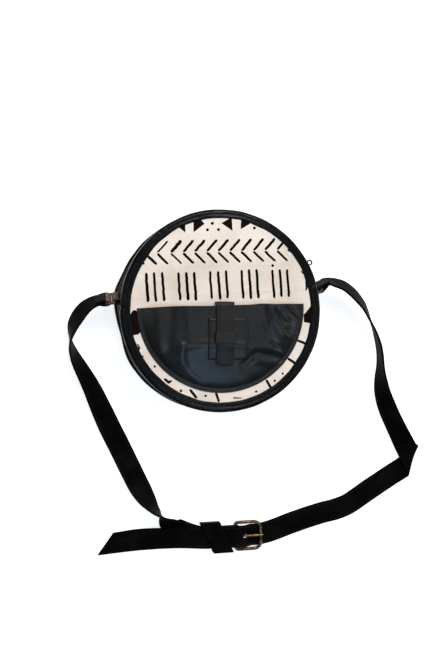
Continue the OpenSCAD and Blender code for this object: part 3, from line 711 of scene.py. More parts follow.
dress(band("side_lining", wall(LINING_IN_R, LINING_IN_R + 0.5, LINING_Z0, LINING_Z1, 20, 0.1), *UNDER_BAG,
           lining_cloth, lining_warp), "lining", "bag", "gusset_lining")
dress(band("zip_lining_back", wall(*ZIP_LINING, LINING_Z0, ZIP_Z - LINING_GAP, 8, 0.1), *OVER_TOP,
           lining_cloth), "lining", "bag")
dress(band("zip_lining_front", wall(*ZIP_LINING, ZIP_Z + LINING_GAP, LINING_Z1, 8, 0.1), *OVER_TOP,
           lining_cloth), "lining", MOUTH_FOLD, "front_gusset_lining")


# Printed front

STROKE_STEP = 1.1
SIDE_STEP = 1.5


def steps_between(x0, y0, x1, y1, count):
    """Points of a line from one end to the other, each after its share of the way."""
    shares = [i / count for i in range(count + 1)]
    return [(t, x0 + (x1 - x0) * t, y0 + (y1 - y0) * t) for t in shares]


def stroke(x0, y0, x1, y1, w0, w1=None, seed=0.0):
    """Outline of one brushed line with uneven sides and round ends."""
    w1 = w0 if w1 is None else w1
    length = math.hypot(x1 - x0, y1 - y0)
    ux, uy = (x1 - x0) / length, (y1 - y0) / length
    count = max(int(length / STROKE_STEP), 3)
    left, right = [], []
    for t, x, y in steps_between(x0, y0, x1, y1, count):
        bend = 0.32 * ripple((x, y, 0), 9.0, seed)
        half = (w0 + (w1 - w0) * t) / 2
        grow = 1 + 0.24 * ripple((x, y, 5), 3.6, seed) + 0.14 * ripple((x, y, 9), 1.4, seed + 2)
        shrink = math.sqrt(max(1 - (abs(2 * t - 1) ** 26), 0.35))
        a, b = half * grow * shrink + bend, half * (2 - grow) * shrink - bend
        left.append((x - uy * a, y + ux * a))
        right.append((x + uy * b, y - ux * b))
    tip0 = (x0 - ux * w0 * 0.12, y0 - uy * w0 * 0.12)
    tip1 = (x1 + ux * w1 * 0.12, y1 + uy * w1 * 0.12)
    return [tip0] + right + [tip1] + left[::-1]


def dot(x, y, r):
    """Outline of an uneven spot."""
    out = []
    for k in range(14):
        a = 2 * math.pi * k / 14
        grow = 1 + 0.12 * ripple((x + math.cos(a) * 2, y + math.sin(a) * 2, 0), 1.7)
        out.append((x + r * grow * math.cos(a), y + r * grow * math.sin(a)))
    return out


def shape(*corners):
    """A filled figure with straight, slightly uneven sides."""
    out = []
    for (x0, y0), (x1, y1) in zip(corners, corners[1:] + corners[:1]):
        count = max(int(math.hypot(x1 - x0, y1 - y0) / SIDE_STEP), 1)
        for t, x, y in steps_between(x0, y0, x1, y1, count)[:-1]:
            wobble = 0.25 * math.sin(math.pi * t)
            shift_x, shift_y = ripple((x, y, 0), 1.9, 3.0), ripple((x, y, 4), 1.9, 3.0)
            out.append((x + wobble * shift_x, y + wobble * shift_y))
    return out


# Chevrons from left to right: where each points, and the widths of its upper and lower arm
CHEVRONS = [(-80.3, 0.0, 3.0), (-67.6, 1.8, 2.6), (-52.5, 3.2, 2.0), (-38.9, 2.5, 2.7), (-26.0, 2.6, 2.5),
            (-12.4, 2.5, 2.7), (0.4, 2.6, 2.3), (13.4, 2.4, 2.6), (26.4, 2.6, 2.6), (40.2, 2.5, 2.4),
            (53.3, 2.6, 2.5), (67.2, 2.4, 2.4)]
CHEVRON_Y = 64.8
# Ends of a chevron's two arms, from where it points
UPPER_ARM = (0.5, 0.9, 12.0, 13.2)
LOWER_ARM = (0.2, -0.6, 11.5, -12.2)
# Bars from left to right: middle and width
BARS = [(-80.3, 3.3), (-71.6, 2.8), (-62.3, 3.0), (-44.5, 2.9), (-35.6, 3.3), (-26.8, 3.1), (-9.1, 2.7),
        (0.2, 3.1), (8.9, 2.9), (26.5, 2.9), (35.1, 3.1), (43.5, 3.0), (61.5, 2.8), (70.1, 2.9),
        (78.4, 2.8)]
BAR_TOP = 43.5
BAR_LOW = 12.3
# Cut off figures along the top, and one at each side
SHAPES = [((-42.7, 92.8), (-35.3, 98.1), (-35.4, 86.7)),
          ((-26.0, 100.4), (-18.4, 102.2), (-13.7, 96.1), (-26.4, 86.9)),
          ((5.3, 96.5), (17.1, 102.8), (17.5, 87.5)),
          ((26.8, 89.2), (27.7, 100.8), (38.9, 95.8)),
          ((95.2, -7.8), (97.0, -6.5), (106.5, 4.5), (107.0, -19.0), (95.2, -16.4)),
          ((-104.0, -3.0), (-99.5, -1.0), (-97.5, 2.0), (-95.4, 3.2), (-93.0, 2.6), (-91.0, -1.0),
           (-89.1, -8.0), (-87.2, -20.1), (-92.0, -23.8), (-97.0, -24.5), (-101.0, -20.0))]
# Middle and radius
DOTS = [(-4.9, 96.4, 1.8), (-10.7, 89.4, 1.7), (1.7, 89.4, 1.7), (42.4, 90.2, 1.7), (61.7, 47.8, 1.6),
        (-74.8, -59.5, 1.4), (-46.7, -87.5, 1.5), (-19.2, -94.2, 1.4), (37.9, -91.9, 1.3),
        (59.5, -80.8, 1.4), (68.8, -73.1, 1.3)]
# Both ends of each single stroke, its width there or at each end, and in two the seed of its wobble
EDGE_STROKES = [(-92.5, 66.0, -82.5, 53.0, 3.0, 2.8, 3.3), (-97.5, 58.5, -94.0, 54.8, 2.6, 2.4, 4.4)]
STROKES = [(79.5, 65.3, 87.6, 60.3, 2.4), (94.0, 41.0, 97.4, 37.4, 1.6), (98.8, 43.5, 99.8, 30.0, 1.3, 2.4),
           (99.8, 30.5, 98.8, 19.0, 2.6, 2.0), (-93.0, -34.0, -90.0, -39.5, 1.5),
           (-91.8, -37.6, -92.1, -46.5, 2.2), (-92.0, -46.0, -86.5, -48.5, 1.4),
           (-64.5, -73.3, -59.0, -78.5, 3.0), (-60.0, -78.0, -56.5, -76.0, 2.6),
           (-36.5, -86.5, -29.3, -96.5, 3.0), (-7.5, -91.0, -4.6, -101.5, 2.8),
           (11.7, -97.9, 21.4, -98.4, 1.8, 1.0)]
# Directions of the broad bars that cross the rim from the pocket to the piping
RIM_BARS = (-22.9, -37.1, -58.9)
RIM_X = 2.0
RIM_Y = -0.7
RIM_IN_R = 92.0
RIM_OUT_R = 105.0


def arm(x, ends, w0, w1, seed):
    """One arm of the chevron that points at x."""
    x0, y0, x1, y1 = ends
    return stroke(x + x0, CHEVRON_Y + y0, x + x1, CHEVRON_Y + y1, w0, w1, seed)


figures = []
for x, upper, lower in CHEVRONS:
    if upper:
        figures.append(arm(x, UPPER_ARM, upper * 1.1, upper * 1.25, x))
    figures.append(arm(x, LOWER_ARM, lower * 1.15, lower, x + 1))
figures += [stroke(*line) for line in EDGE_STROKES]
for x, w in BARS:
    y_top, y_low = BAR_TOP + draw.uniform(-0.6, 0.9), BAR_LOW + draw.uniform(-0.9, 0.8)
    figures.append(stroke(x - 0.5, y_top, x + 0.7, y_low, w * 0.95, w * 1.05, x))
figures += [shape(*corners) for corners in SHAPES]
figures += [dot(*place) for place in DOTS]
figures += [stroke(*line) for line in STROKES]
for degrees in RIM_BARS:
    c, s = math.cos(math.radians(degrees)), math.sin(math.radians(degrees))
    figures.append(stroke(RIM_X + RIM_IN_R * c, RIM_Y + RIM_IN_R * s,
                          RIM_X + RIM_OUT_R * c, RIM_Y + RIM_OUT_R * s, 2.8, 3.2, degrees))

CLOTH_R = 105.4
CLOTH_T = 0.7
GRID = 2.3
GRID_ROW = 0.866
PRINT_X = -2.0
PRINT_Y = 0.7


def cloth_z(x, y):
    """Height of the printed face: nearly flat, turned down at its seam, a soft crease over the pocket."""
    r = math.hypot(x, y)
    z = FRONT_Z - 0.12
    z += 0.2 * ripple((x, y, 0), 34.0, 2.0) + 0.07 * ripple((x, y, 0), 9.0, 6.0)
    crease_y = 15.1 + 0.017 * x
    z -= 0.55 * bell(y, crease_y, 1.5) * (0.6 + 0.4 * ripple((x, 0, 0), 30.0, 1.0))
    z += 0.3 * bell(y, crease_y + 4.0, 3.0)
    edge = smooth_step(99.5, CLOTH_R, r)
    z -= 0.55 * edge * edge
    pucker = ripple((math.degrees(math.atan2(y, x)) * 1.8, 0, 0), 4.0, 7.0)
    z += 0.22 * pucker * smooth_step(94.0, 101.0, r) * (1 - smooth_step(100.0, 102.5, r))
    if (x - POCKET_X) ** 2 + (y - POCKET_Y) ** 2 < POCKET_R ** 2 and y < POCKET_TOP + 1:
        z = min(z, FRONT_Z)
    return z


def holds(loop, x, y):
    """True if the point is inside the loop."""
    inside = False
    for (ax, ay), (bx, by) in zip(loop, loop[1:] + loop[:1]):
        if (ay > y) != (by > y) and x < (bx - ax) * (y - ay) / (by - ay) + ax:
            inside = not inside
    return inside


def printed_sheet():
    """Triangles of the round cloth, split along the edges of what is printed on it."""
    loops = [[rotated((CLOTH_R, 0.0), 1.5 * k) for k in range(240)]]
    limit = CLOTH_R - 0.3
    for figure in figures:
        loop = []
        for x, y in figure:
            x, y = x + PRINT_X, y + PRINT_Y
            r = math.hypot(x, y)
            if r > limit:
                x, y = x * limit / r, y * limit / r
            loop.append((x, y))
        area = sum(a[0] * b[1] - b[0] * a[1] for a, b in zip(loop, loop[1:] + loop[:1]))
        loops.append(loop if area > 0 else loop[::-1])
    flat = [p for loop in loops for p in loop]
    tree = kdtree.KDTree(len(flat))
    for i, (x, y) in enumerate(flat):
        tree.insert((x, y, 0), i)
    tree.balance()
    row_gap = GRID * GRID_ROW
    rows = int(CLOTH_R / GRID / GRID_ROW) + 1
    grid = []
    for j in range(-rows, rows + 1):
        for i in range(-rows - 5, rows + 6):
            x = (i + 0.5 * (j % 2)) * GRID
            y = j * row_gap
            if math.hypot(x, y) < CLOTH_R - 0.8 and tree.find((x, y, 0))[2] > 0.75:
                grid.append((x, y))
    rings, first = [], 0
    for loop in loops:
        rings.append(list(range(first, first + len(loop))))
        first += len(loop)
    verts = [Vector(p) for p in flat + grid]
    out, _, tris = geometry.delaunay_2d_cdt(verts, [], rings, 0, 1e-4)[:3]
    boxes = [(min(x for x, _ in loop), max(x for x, _ in loop), min(y for _, y in loop),
              max(y for _, y in loop), loop) for loop in loops[1:]]
    ink = []
    for tri in tris:
        x = sum(out[i].x for i in tri) / len(tri)
        y = sum(out[i].y for i in tri) / len(tri)
        ink.append(any(x0 < x < x1 and y0 < y < y1 and holds(loop, x, y) for x0, x1, y0, y1, loop in boxes))
    return out, tris, ink


out, tris, ink = printed_sheet()
top = [Vector((p.x, p.y, cloth_z(p.x, p.y))) for p in out]
front_cloth = make("front_cloth", top, tris, cloth_light, False)
front_cloth.data.materials.append(cloth_ink)
front_cloth.data.polygons.foreach_set("material_index", [1 if i else 0 for i in ink])
work = bmesh.new()
work.from_mesh(front_cloth.data)
if sum(f.normal.z for f in work.faces) < 0:
    bmesh.ops.reverse_faces(work, faces=work.faces)
work.to_mesh(front_cloth.data)
work.free()
thick = front_cloth.modifiers.new("thick", "SOLIDIFY")
thick.thickness = CLOTH_T * MM
thick.offset = -1
mesh = bpy.data.meshes.new_from_object(front_cloth.evaluated_get(bpy.context.evaluated_depsgraph_get()))
front_cloth.modifiers.clear()
front_cloth.data = mesh
dress(front_cloth, "cloth_print", MOUTH_FOLD, "front_panel_lower", "front_panel_upper")

points, faces = disc_sections(PANEL_R - 0.4,
                              lambda x, y: FRONT_LINING_Z[0] + 0.1 * ripple((x, y, 0), 30.0, 8.0),
                              lambda x, y: FRONT_LINING_Z[1], 40)
dress(make("front_lining_cloth", points, faces, lining_cloth), "lining", MOUTH_FOLD,
      "front_lining_lower", "front_lining_upper")


# Pocket and closure


def crown(x, y):
    """Height of the pocket's underside over the panel."""
    share = min(math.hypot(x - POCKET_X, y - POCKET_Y) / POCKET_IN_R, 1.0)
    return POCKET_BULGE * (1 - share ** 6)


# Folds in the pocket's leather: middle line, width, and height over the face or depth under it
FOLDS = [([(-46, -38), (-21, -35), (1, -38), (24, -39), (43, -43), (66, -48)], 5.0, 0.8),
         ([(-46, -38), (-46, -55), (-39, -68), (-25, -83)], 4.0, 0.7),
         ([(45, 2), (48, -17), (55, -34), (66, -46)], 3.6, -1.1),
         ([(54, 4), (60, -12), (70, -28), (80, -36)], 4.0, 0.9),
         ([(61, 2), (72, -10), (86, -20)], 2.8, -1.1),
         ([(68, -3), (78, -14), (90, -23)], 2.0, 0.7),
         ([(74, 4), (83, -6), (91, -13)], 2.2, -0.9),
         ([(23, -59), (38, -47), (54, -51), (74, -58)], 3.5, -0.9),
         ([(36, -56), (54, -61), (68, -66)], 4.0, 0.6),
         ([(72, -20), (82, -23), (90, -26)], 1.4, -0.5),
         ([(-76, 5), (-73, -35)], 7.0, 0.6),
         ([(-58, 6), (-61, -41)], 6.0, -0.8),
         ([(-38, 6), (-37, -31)], 6.0, 0.7),
         ([(26, 6), (31, -30)], 5.0, 0.5)]


def fold_height(x, y):
    """Sum of the folds at a point, each fading as a bell about its line."""
    total = 0.0
    for points, width, height in FOLDS:
        reach = 2.6 * width
        nearest = reach * reach
        for (x0, y0), (x1, y1) in zip(points, points[1:]):
            out_x = max(min(x0, x1) - x, x - max(x0, x1))
            out_y = max(min(y0, y1) - y, y - max(y0, y1))
            if max(out_x, out_y) >= reach:
                continue
            dx, dy = x1 - x0, y1 - y0
            t = min(max(((x - x0) * dx + (y - y0) * dy) / (dx * dx + dy * dy), 0.0), 1.0)
            nearest = min(nearest, (x - x0 - t * dx) ** 2 + (y - y0 - t * dy) ** 2)
        if nearest < reach * reach:
            total += height * math.exp(-nearest / width ** 2)
    return total


def pocket_edge(x):
    """Open edge of the pocket, a little wavy."""
    return POCKET_TOP + 1.0 * bell(x, -52, 24) + 0.8 * bell(x, 45, 8) - 0.7 * smooth_step(50, 95, x)


HOLLOW_TOP = -38.0
HOLLOW_H = 52.0
HOLLOW_DEPTH = 1.7


def pocket_top_z(x, y):
    """Outer face of the pocket's leather: folds, a shallow hollow in its lower half and a sewn rim."""
    r = math.hypot(x - POCKET_X, y - POCKET_Y)
    loose = 1 - smooth_step(POCKET_IN_R - 14, POCKET_R, r)
    z = FRONT_Z + crown(x, y) + LEATHER_T
    lower = min(max((HOLLOW_TOP - y) / HOLLOW_H, 0.0), 1.0)
    z -= HOLLOW_DEPTH * math.sin(math.pi * lower) * smooth_step(-52, -38, x) * loose
    z += fold_height(x, y) * (0.3 + 1.0 * loose)
    z += 0.36 * loose * ripple((x, y, 0), 16.0, 4.0) + 0.05 * ripple((x, y, 0), 4.0, 6.0)
    inset = POCKET_R - r
    rim = (1 - smooth_step(4.6, 6.0, inset)) * smooth_step(2.0, 3.4, inset)
    z -= 0.3 * rim * (1 + 0.5 * ripple((x, y, 0), 3.0, 1.0))
    return z


def eased(distance, r):
    """Fall of a rounded edge at a distance inside it."""
    if distance >= r:
        return 0.0
    t = 1 - max(distance, 0.0) / r
    return r * (1 - math.sqrt(max(1 - t * t, 0.0)))


COLUMNS = 170
ROWS = 76
END_ANGLE = 87.0
HEM_W = 0.75
columns = []
for i in range(COLUMNS + 1):
    a = math.radians(-END_ANGLE + 2 * END_ANGLE * i / COLUMNS)
    x = POCKET_R * math.sin(a) + POCKET_X
    y_low = POCKET_Y - POCKET_R * math.cos(a)
    y_top = pocket_edge(x)
    outer, inner = [], []
    for k in range(ROWS + 1):
        y = y_top + (y_low - y_top) * (0.5 - 0.5 * math.cos(math.pi * k / ROWS))
        inset = POCKET_R - math.hypot(x - POCKET_X, y - POCKET_Y)
        face_z = pocket_top_z(x, y)
        low = FRONT_Z + crown(x, y) + 0.1
        sag = min(0.0, face_z - LEATHER_T - low)
        outer.append(Vector((x, y, max(face_z - eased(inset, 1.0) - eased(y_top - y, 0.7), FRONT_Z + 0.3))))
        inner.append(Vector((x, y, max(low + sag, FRONT_Z + 0.1))))
    columns.append(outer + inner[::-1])
pocket = loft("pocket_skin", columns, pocket_leather)
pocket.data.materials.append(raw_edge)
for face in pocket.data.polygons:
    if face.center.y > (pocket_edge(face.center.x / MM) - HEM_W) * MM:
        face.material_index = 1
dress(pocket, "leather_black", "bag", "pocket_panel")

CLOSURE_X = 2.5
CLOSURE_LEAN = -2.0
CLOSURE_W = 20.0
CLOSURE_L = 67.0
CORNER_R = 5.0
CLOSURE_T = 2.0
CLOSURE_LIFT = 1.35
LEG_Y = 3.2
LEG_R = 2.0
LEG_STEPS = 6
FACE_STEPS = 44
TIP_STEP = 1.4
PATCH_W = 45.0
PATCH_H = 46.0
PATCH_X = 3.5
PATCH_TOP = -14.0
PATCH_T = 1.15
PATCH_STEPS = 40


def closure_point(x, y):
    """Where a point of the closure's own frame, which leans a little, is on the bag."""
    px, py = rotated((x, y), CLOSURE_LEAN)
    return px + CLOSURE_X, py + POCKET_TOP


def upon_pocket(x, y):
    """Height of the pocket's face at a point of the closure's own frame."""
    px, py = closure_point(x, y)
    return pocket_top_z(px, min(py, POCKET_TOP))


columns = []
for i in range(PATCH_STEPS + 1):
    u = PATCH_W * (i / PATCH_STEPS - 0.5)
    outer, inner = [], []
    for k in range(PATCH_STEPS + 1):
        v = PATCH_H * k / PATCH_STEPS
        px, py = closure_point(u + PATCH_X, PATCH_TOP - v)
        inset = min(u + PATCH_W / 2, PATCH_W / 2 - u, v, PATCH_H - v)
        base = pocket_top_z(px, py)
        groove = 0.22 * bell(inset, STITCH_INSET, 0.8)
        z = base + PATCH_T - groove - eased(inset, 0.8) + 0.1 * ripple((px, py, 0), 8.0, 2.0)
        outer.append(Vector((px, py, z)))
        inner.append(Vector((px, py, base + 0.05)))
    columns.append(outer + inner[::-1])
dress(loft("closure_patch_skin", columns, pocket_leather), "leather_black", "bag", "closure_patch")


def tab_path(x):
    """Middle line of the closure at x across it: up its leg, over the pocket's edge and down to the tip."""
    past = max(abs(x) - (CLOSURE_W / 2 - CORNER_R), 0.0)
    y_tip = -CLOSURE_L + CORNER_R - math.sqrt(max(CORNER_R ** 2 - past ** 2, 0.0))
    top_z = upon_pocket(x, 0) + CLOSURE_LIFT + CLOSURE_T / 2
    path = []
    for k in range(LEG_STEPS + 1):
        path.append((LEG_Y, FRONT_Z + 0.1 + (top_z - LEG_R - FRONT_Z) * k / LEG_STEPS))
    for k in range(1, LEG_STEPS + 1):
        a = math.radians(90 * k / LEG_STEPS)
        path.append((LEG_Y * math.cos(a), top_z - LEG_R + LEG_R * math.sin(a)))
    for k in range(1, FACE_STEPS + 1):
        y = y_tip * k / FACE_STEPS
        path.append((y, upon_pocket(x, y) + CLOSURE_LIFT + CLOSURE_T / 2))
    return path


TAB_COLUMNS = 32
TAB_END_ANGLE = 88
columns = []
for i in range(TAB_COLUMNS + 1):
    across = math.sin(math.radians(TAB_END_ANGLE * (2 * i / TAB_COLUMNS - 1))) * CLOSURE_W / 2
    from_side = CLOSURE_W / 2 - abs(across)
    path = tab_path(across)
    outer, inner = [], []
    for k, (y, z) in enumerate(path):
        before, after = neighbours(path, k)
        dy, dz = after[0] - before[0], after[1] - before[1]
        length = math.hypot(dy, dz)
        ny, nz = dz / length, -dy / length
        if nz < 0 and k > 2 * LEG_STEPS:
            ny, nz = -ny, -nz
        from_tip = (len(path) - 1 - k) * TIP_STEP
        half_t = CLOSURE_T / 2 - eased(from_side, 0.9) * 0.5 - eased(from_tip, 1.4) * 0.5
        groove = 0.45 * bell(min(from_side, from_tip), 2.2, 0.6)
        wear = 0.12 * ripple((across, y, z), 6.0, 9.0)
        for out_list, push in ((outer, half_t + wear - groove), (inner, -half_t)):
            px, py = closure_point(across, y + ny * push)
            out_list.append(Vector((px, py, max(z + nz * push, FRONT_Z + 0.05))))
    columns.append(outer + inner[::-1])
dress(loft("closure_tab", columns, tab_leather), "leather_black", "bag", "closure_strap")

LOOP_Y = -36.0
LOOP_W = 12.0
LOOP_T = 1.2
LOOP_BEND = 1.2
LOOP_SIDE_GAP = 1.4
LOOP_TOP_GAP = 2.3
LOOP_FOOT = 1.1
base_z = upon_pocket(0, LOOP_Y)
half_loop = CLOSURE_W / 2 + LOOP_SIDE_GAP
loop_top = base_z + CLOSURE_T + LOOP_TOP_GAP
foot = base_z + LOOP_FOOT
path = [(-half_loop, foot + (loop_top - foot - LOOP_BEND) * k / 3) for k in range(4)]
for a in (25, 50, 75, 90):
    turned = math.radians(a)
    path.append((-half_loop + LOOP_BEND - LOOP_BEND * math.cos(turned),
                 loop_top - LOOP_BEND + LOOP_BEND * math.sin(turned)))
for k in range(1, 7):
    path.append((-half_loop + LOOP_BEND + (half_loop - LOOP_BEND) * k / 6,
                 loop_top + 0.25 * math.sin(math.pi / 2 * k / 6)))
path += [(-x, z) for x, z in path[-2::-1]]
loop_frames = []
for k, (x, z) in enumerate(path):
    before, after = neighbours(path, k)
    dx, dz = after[0] - before[0], after[1] - before[1]
    length = math.hypot(dx, dz)
    px, py = closure_point(x, LOOP_Y)
    side = Vector((*rotated((0.0, 1.0), CLOSURE_LEAN), 0.0))
    nx, ny = rotated((-dz / length, 0.0), CLOSURE_LEAN)
    loop_frames.append((Vector((px, py, z)), side, Vector((nx, ny, dx / length))))
dress(sweep("closure_loop_band", loop_frames, outline(LOOP_W, LOOP_T, 0.4, 6), tab_leather),
      "leather_black", "bag", "closure_loop")


def over_pocket(points, lift):
    """A stitch line over the pocket's face through points of the closure's frame."""
    line = []
    for (x0, y0), (x1, y1) in zip(points, points[1:]):
        count = max(int(math.hypot(x1 - x0, y1 - y0) / SIDE_STEP), 1)
        for _, x, y in steps_between(x0, y0, x1, y1, count):
            px, py = closure_point(x, y)
            line.append((Vector((px, py, upon_pocket(x, y) + lift)), Vector((0, 0, 1))))
    return line


x0, x1 = PATCH_X - PATCH_W / 2 + STITCH_INSET, PATCH_X + PATCH_W / 2 - STITCH_INSET
y0, y1 = PATCH_TOP - STITCH_INSET, PATCH_TOP - PATCH_H + STITCH_INSET
patch_line = over_pocket([(x0, y0), (x1, y0), (x1, y1), (x0, y1), (x0, y0)], 1.0)
RIM_START = 181.5
RIM_SWEEP = 177
RIM_STEPS = 240
rim_line = []
for i in range(RIM_STEPS + 1):
    a = math.radians(RIM_START + RIM_SWEEP * i / RIM_STEPS)
    x = POCKET_X + (POCKET_R - STITCH_INSET) * math.cos(a)
    y = POCKET_Y + (POCKET_R - STITCH_INSET) * math.sin(a)
    rim_line.append((Vector((x, y, pocket_top_z(x, y) + 0.05)), Vector((0, 0, 1))))
stitches("pocket_stitches", [patch_line, rim_line], "bag")


# Rings and the strap's sewn ends


def anchor(angle, hinge_r, tilt, swing=0.0):
    """Frame of a ring: its middle on the bar that the tab holds, turned up by swing."""
    return (Matrix.Rotation(math.radians(angle), 4, "Z") @ Matrix.Translation((hinge_r, 0, ZIP_Z))
            @ Matrix.Rotation(math.radians(tilt), 4, "X") @ Matrix.Rotation(math.radians(swing), 4, "Z"))


def flat_frames(path, place):
    """Frames along a path of (x, y) in a plane whose normal is the strip's width."""
    frames = []
    turn = place.to_3x3()
    across = Vector((0, 0, 1))
    for k, (x, y) in enumerate(path):
        before, after = neighbours(path, k)
        along = Vector((after[0] - before[0], after[1] - before[1], 0)).normalized()
        frames.append((place @ Vector((x, y, 0)), turn @ across, turn @ across.cross(along)))
    return frames


BAR_GAP = 0.4
TAB_T = 1.5
TAB_W = 23.5
TAB_MID_R = RING_WIRE_R + BAR_GAP + TAB_T / 2
LOOP_MID_R = RING_WIRE_R + BAR_GAP + STRAP_T / 2
LOOP_SLACK = FAR_BAR - TAB_MID_R - TAB_T / 2 - 0.2 - STRAP_T / 2
LOOP_NECK = LOOP_REACH - 2
# Faces of the left strap end nearer than this to the bag's middle are brown
BROWN_R = 127.0


def tab_fold_path(run):
    """Middle line of a ring's tab: out of the side, round the ring's bar and back."""
    path = [(-run + run * k / 5, TAB_MID_R) for k in range(6)]
    for a in range(15, 180, 15):
        path.append((TAB_MID_R * math.sin(math.radians(a)), TAB_MID_R * math.cos(math.radians(a))))
    return path + [(-run * k / 5, -TAB_MID_R) for k in range(6)]


def sewn_loop_path():
    """Middle line of the strap's sewn end: to the ring's far bar, round it and back."""
    run = [(LOOP_REACH, STRAP_T / 2)]
    for k in range(4):
        run.append((LOOP_NECK - (LOOP_NECK - FAR_BAR - 1.5) * k / 4,
                    STRAP_T / 2 + 0.05 + (LOOP_MID_R - STRAP_T / 2 - 0.25) * smooth_step(0, 4, k)))
    bend = []
    for a in range(75, 286, 15):
        r = LOOP_MID_R if a < 90 or a > 270 else LOOP_SLACK
        bend.append((FAR_BAR + r * math.cos(math.radians(a)), LOOP_MID_R * math.sin(math.radians(a))))
    return run + bend + [(x, -y) for x, y in reversed(run)]


for label, angle, (hinge_r, tilt, rest), tab_material in (("left", ANCHOR_HIGH, RING_LEFT, brown_leather),
                                                          ("right", ANCHOR_LOW, RING_RIGHT, bag_leather)):
    tab_frames = flat_frames(tab_fold_path(hinge_r - GUSSET_OUT_R + 0.6), anchor(angle, hinge_r, tilt))
    dress(sweep(f"ring_tab_{label}_fold", tab_frames, outline(TAB_W, TAB_T, 0.5, 6), tab_material),
          "leather_black", "bag", f"ring_tab_{label}")
    loop_frames = flat_frames(sewn_loop_path(), anchor(angle, hinge_r, tilt, rest))
    loop = sweep(f"strap_end_{label}", loop_frames, outline(STRAP_W, STRAP_T - 0.05, 0.6, 8), strap_leather)
    if label == "left":
        loop.data.materials.append(brown_leather)
        for face in loop.data.polygons:
            face.material_index = 1 if math.hypot(face.center.x, face.center.y) < BROWN_R * MM else 0
    dress(loop, "leather_strap", f"{label}_ring", f"strap_loop_{label}")


# Free strap

# Routes of the strap's middle line: x, y, z in millimetres and its roll in degrees
LEFT_ROUTE = [
    [-126, 17.4, 31.5, 67], [-134.4, 16.2, 31, 63], [-143.2, 12.6, 29, 60], [-151, 6.2, 27, 57],
    [-158, -2.9, 24, 58], [-163, -12.3, 21, 68], [-165, -22, 17, 86], [-164, -34, 14, 106],
    [-159, -48, 12, 122], [-151, -64, 10.5, 134], [-142, -82.3, 8, 146], [-133, -104, 5, 160],
    [-123, -127.3, 1.5, 176], [-112, -151.3, 1.4, 180], [-101, -176, 1.4, 180],
    [-92.2, -195.5, 2.6, 170], [-84.6, -210, 6.6, 146], [-77, -221.5, 10.6, 118],
    [-69, -230, 12.4, 95], [-62.5, -237, 10.8, 55], [-55.5, -243.8, 5.9, 23], [-46.5, -249.3, 3.1, 8],
    [-37, -253.8, 2.5, 4], [-27.5, -257.3, 2.5, 1], [-18, -259.3, 2.5, 0], [-10, -259.3, 2.5, 0]]
# The right run goes straight on past its crease here, and is turned back there when it is built
RIGHT_ROUTE = [
    [113, 18.8, 32.5, 102], [121, 25.4, 32.5, 105], [129, 29.8, 32.3, 109],
    [140, 28, 31.5, 117], [150.2, 24.4, 30.5, 121], [159.8, 17.3, 29.5, 122.5], [168, 8.7, 28, 121],
    [174.7, 0, 26.5, 116], [181.4, -13.9, 24, 108], [187.5, -28.1, 21.5, 99], [192.1, -42.5, 19, 93],
    [194.5, -56.5, 17, 90.5], [195.2, -70.4, 15, 87], [195.5, -84.2, 13.2, 74],
    [196.9, -98.2, 12.3, 61], [200.6, -112.2, 11, 50], [205.9, -126.5, 10, 44],
    [212.2, -140.7, 9.8, 41], [218.6, -154.8, 9.7, 34], [226, -169.5, 8, 18], [232.9, -183.3, 6.6, 4],
    [240, -196.2, 6.3, 0], [247.5, -209.5, 6.3, 0], [254.7, -222.7, 6.3, 0]]
BUCKLE_ROUTE = [
    [208.6, -198.4, 1.3, 180], [195.6, -205.9, 1.3, 180], [182.3, -213.5, 1.3, 180],
    [167.6, -222.5, 1.3, 180], [153, -230.9, 1.3, 180], [138, -235.8, 1.3, 180],
    [122, -238.8, 1.3, 180], [104, -243.3, 1.3, 180], [86, -248.3, 1.3, 180], [70, -253.3, 1.3, 180],
    [56, -257.3, 1.3, 180], [44, -259.3, 1.3, 180], [37, -259.3, 1.6, 180], [32.5, -259.3, 6, 180],
    [27, -259.3, 11.6, 180], [17, -259.3, 12.3, 180], [7, -259.3, 10.4, 180], [-1, -259.3, 8.4, 180],
    [-10, -259.3, 7.6, 180], [-20, -259.2, 7.2, 180], [-32, -258.3, 6.7, 175], [-47, -257.2, 6.9, 171],
    [-62, -256.8, 7.2, 168], [-76, -256.6, 6.2, 171], [-96, -257, 4, 175], [-114, -258.4, 2.4, 178],
    [-130, -259.8, 1.3, 180], [-150, -261, 1.3, 180]]


def smooth_route(route, steps):
    """A smooth curve through the route's points, each stretch in the same number of steps."""
    out = []
    last = len(route) - 1
    for i in range(last):
        a, b, c, d = (route[max(i - 1, 0)], route[i], route[i + 1], route[min(i + 2, last)])
        for k in range(steps):
            t = k / steps
            out.append([0.5 * (2 * p + (r - o) * t + (2 * o - 5 * p + 4 * r - s) * t * t
                               + (3 * p - 3 * r + s - o) * t ** 3) for o, p, r, s in zip(a, b, c, d)])
    out.append(list(route[last]))
    return out


def strap_frames(route, keep):
    """Frames along the free strap, resting on the ground where it would sink into it."""
    points = smooth_route(route, 8)
    frames = []
    for i, p in enumerate(points):
        before, after = neighbours(points, i)
        along = Vector([q - p for p, q in zip(before[:3], after[:3])]).normalized()
        flat = Vector((-along.y, along.x, 0)).normalized()
        up = along.cross(flat).normalized()
        roll = math.radians(p[3])
        side = flat * math.cos(roll) + up * math.sin(roll)
        normal = up * math.cos(roll) - flat * math.sin(roll)
        low = abs(side.z) * STRAP_W / 2 + abs(normal.z) * STRAP_T / 2 + GROUND_GAP
        mid = Vector((p[0], p[1], max(p[2], low)))
        if keep(mid):
            frames.append((mid, side, normal))
    return frames


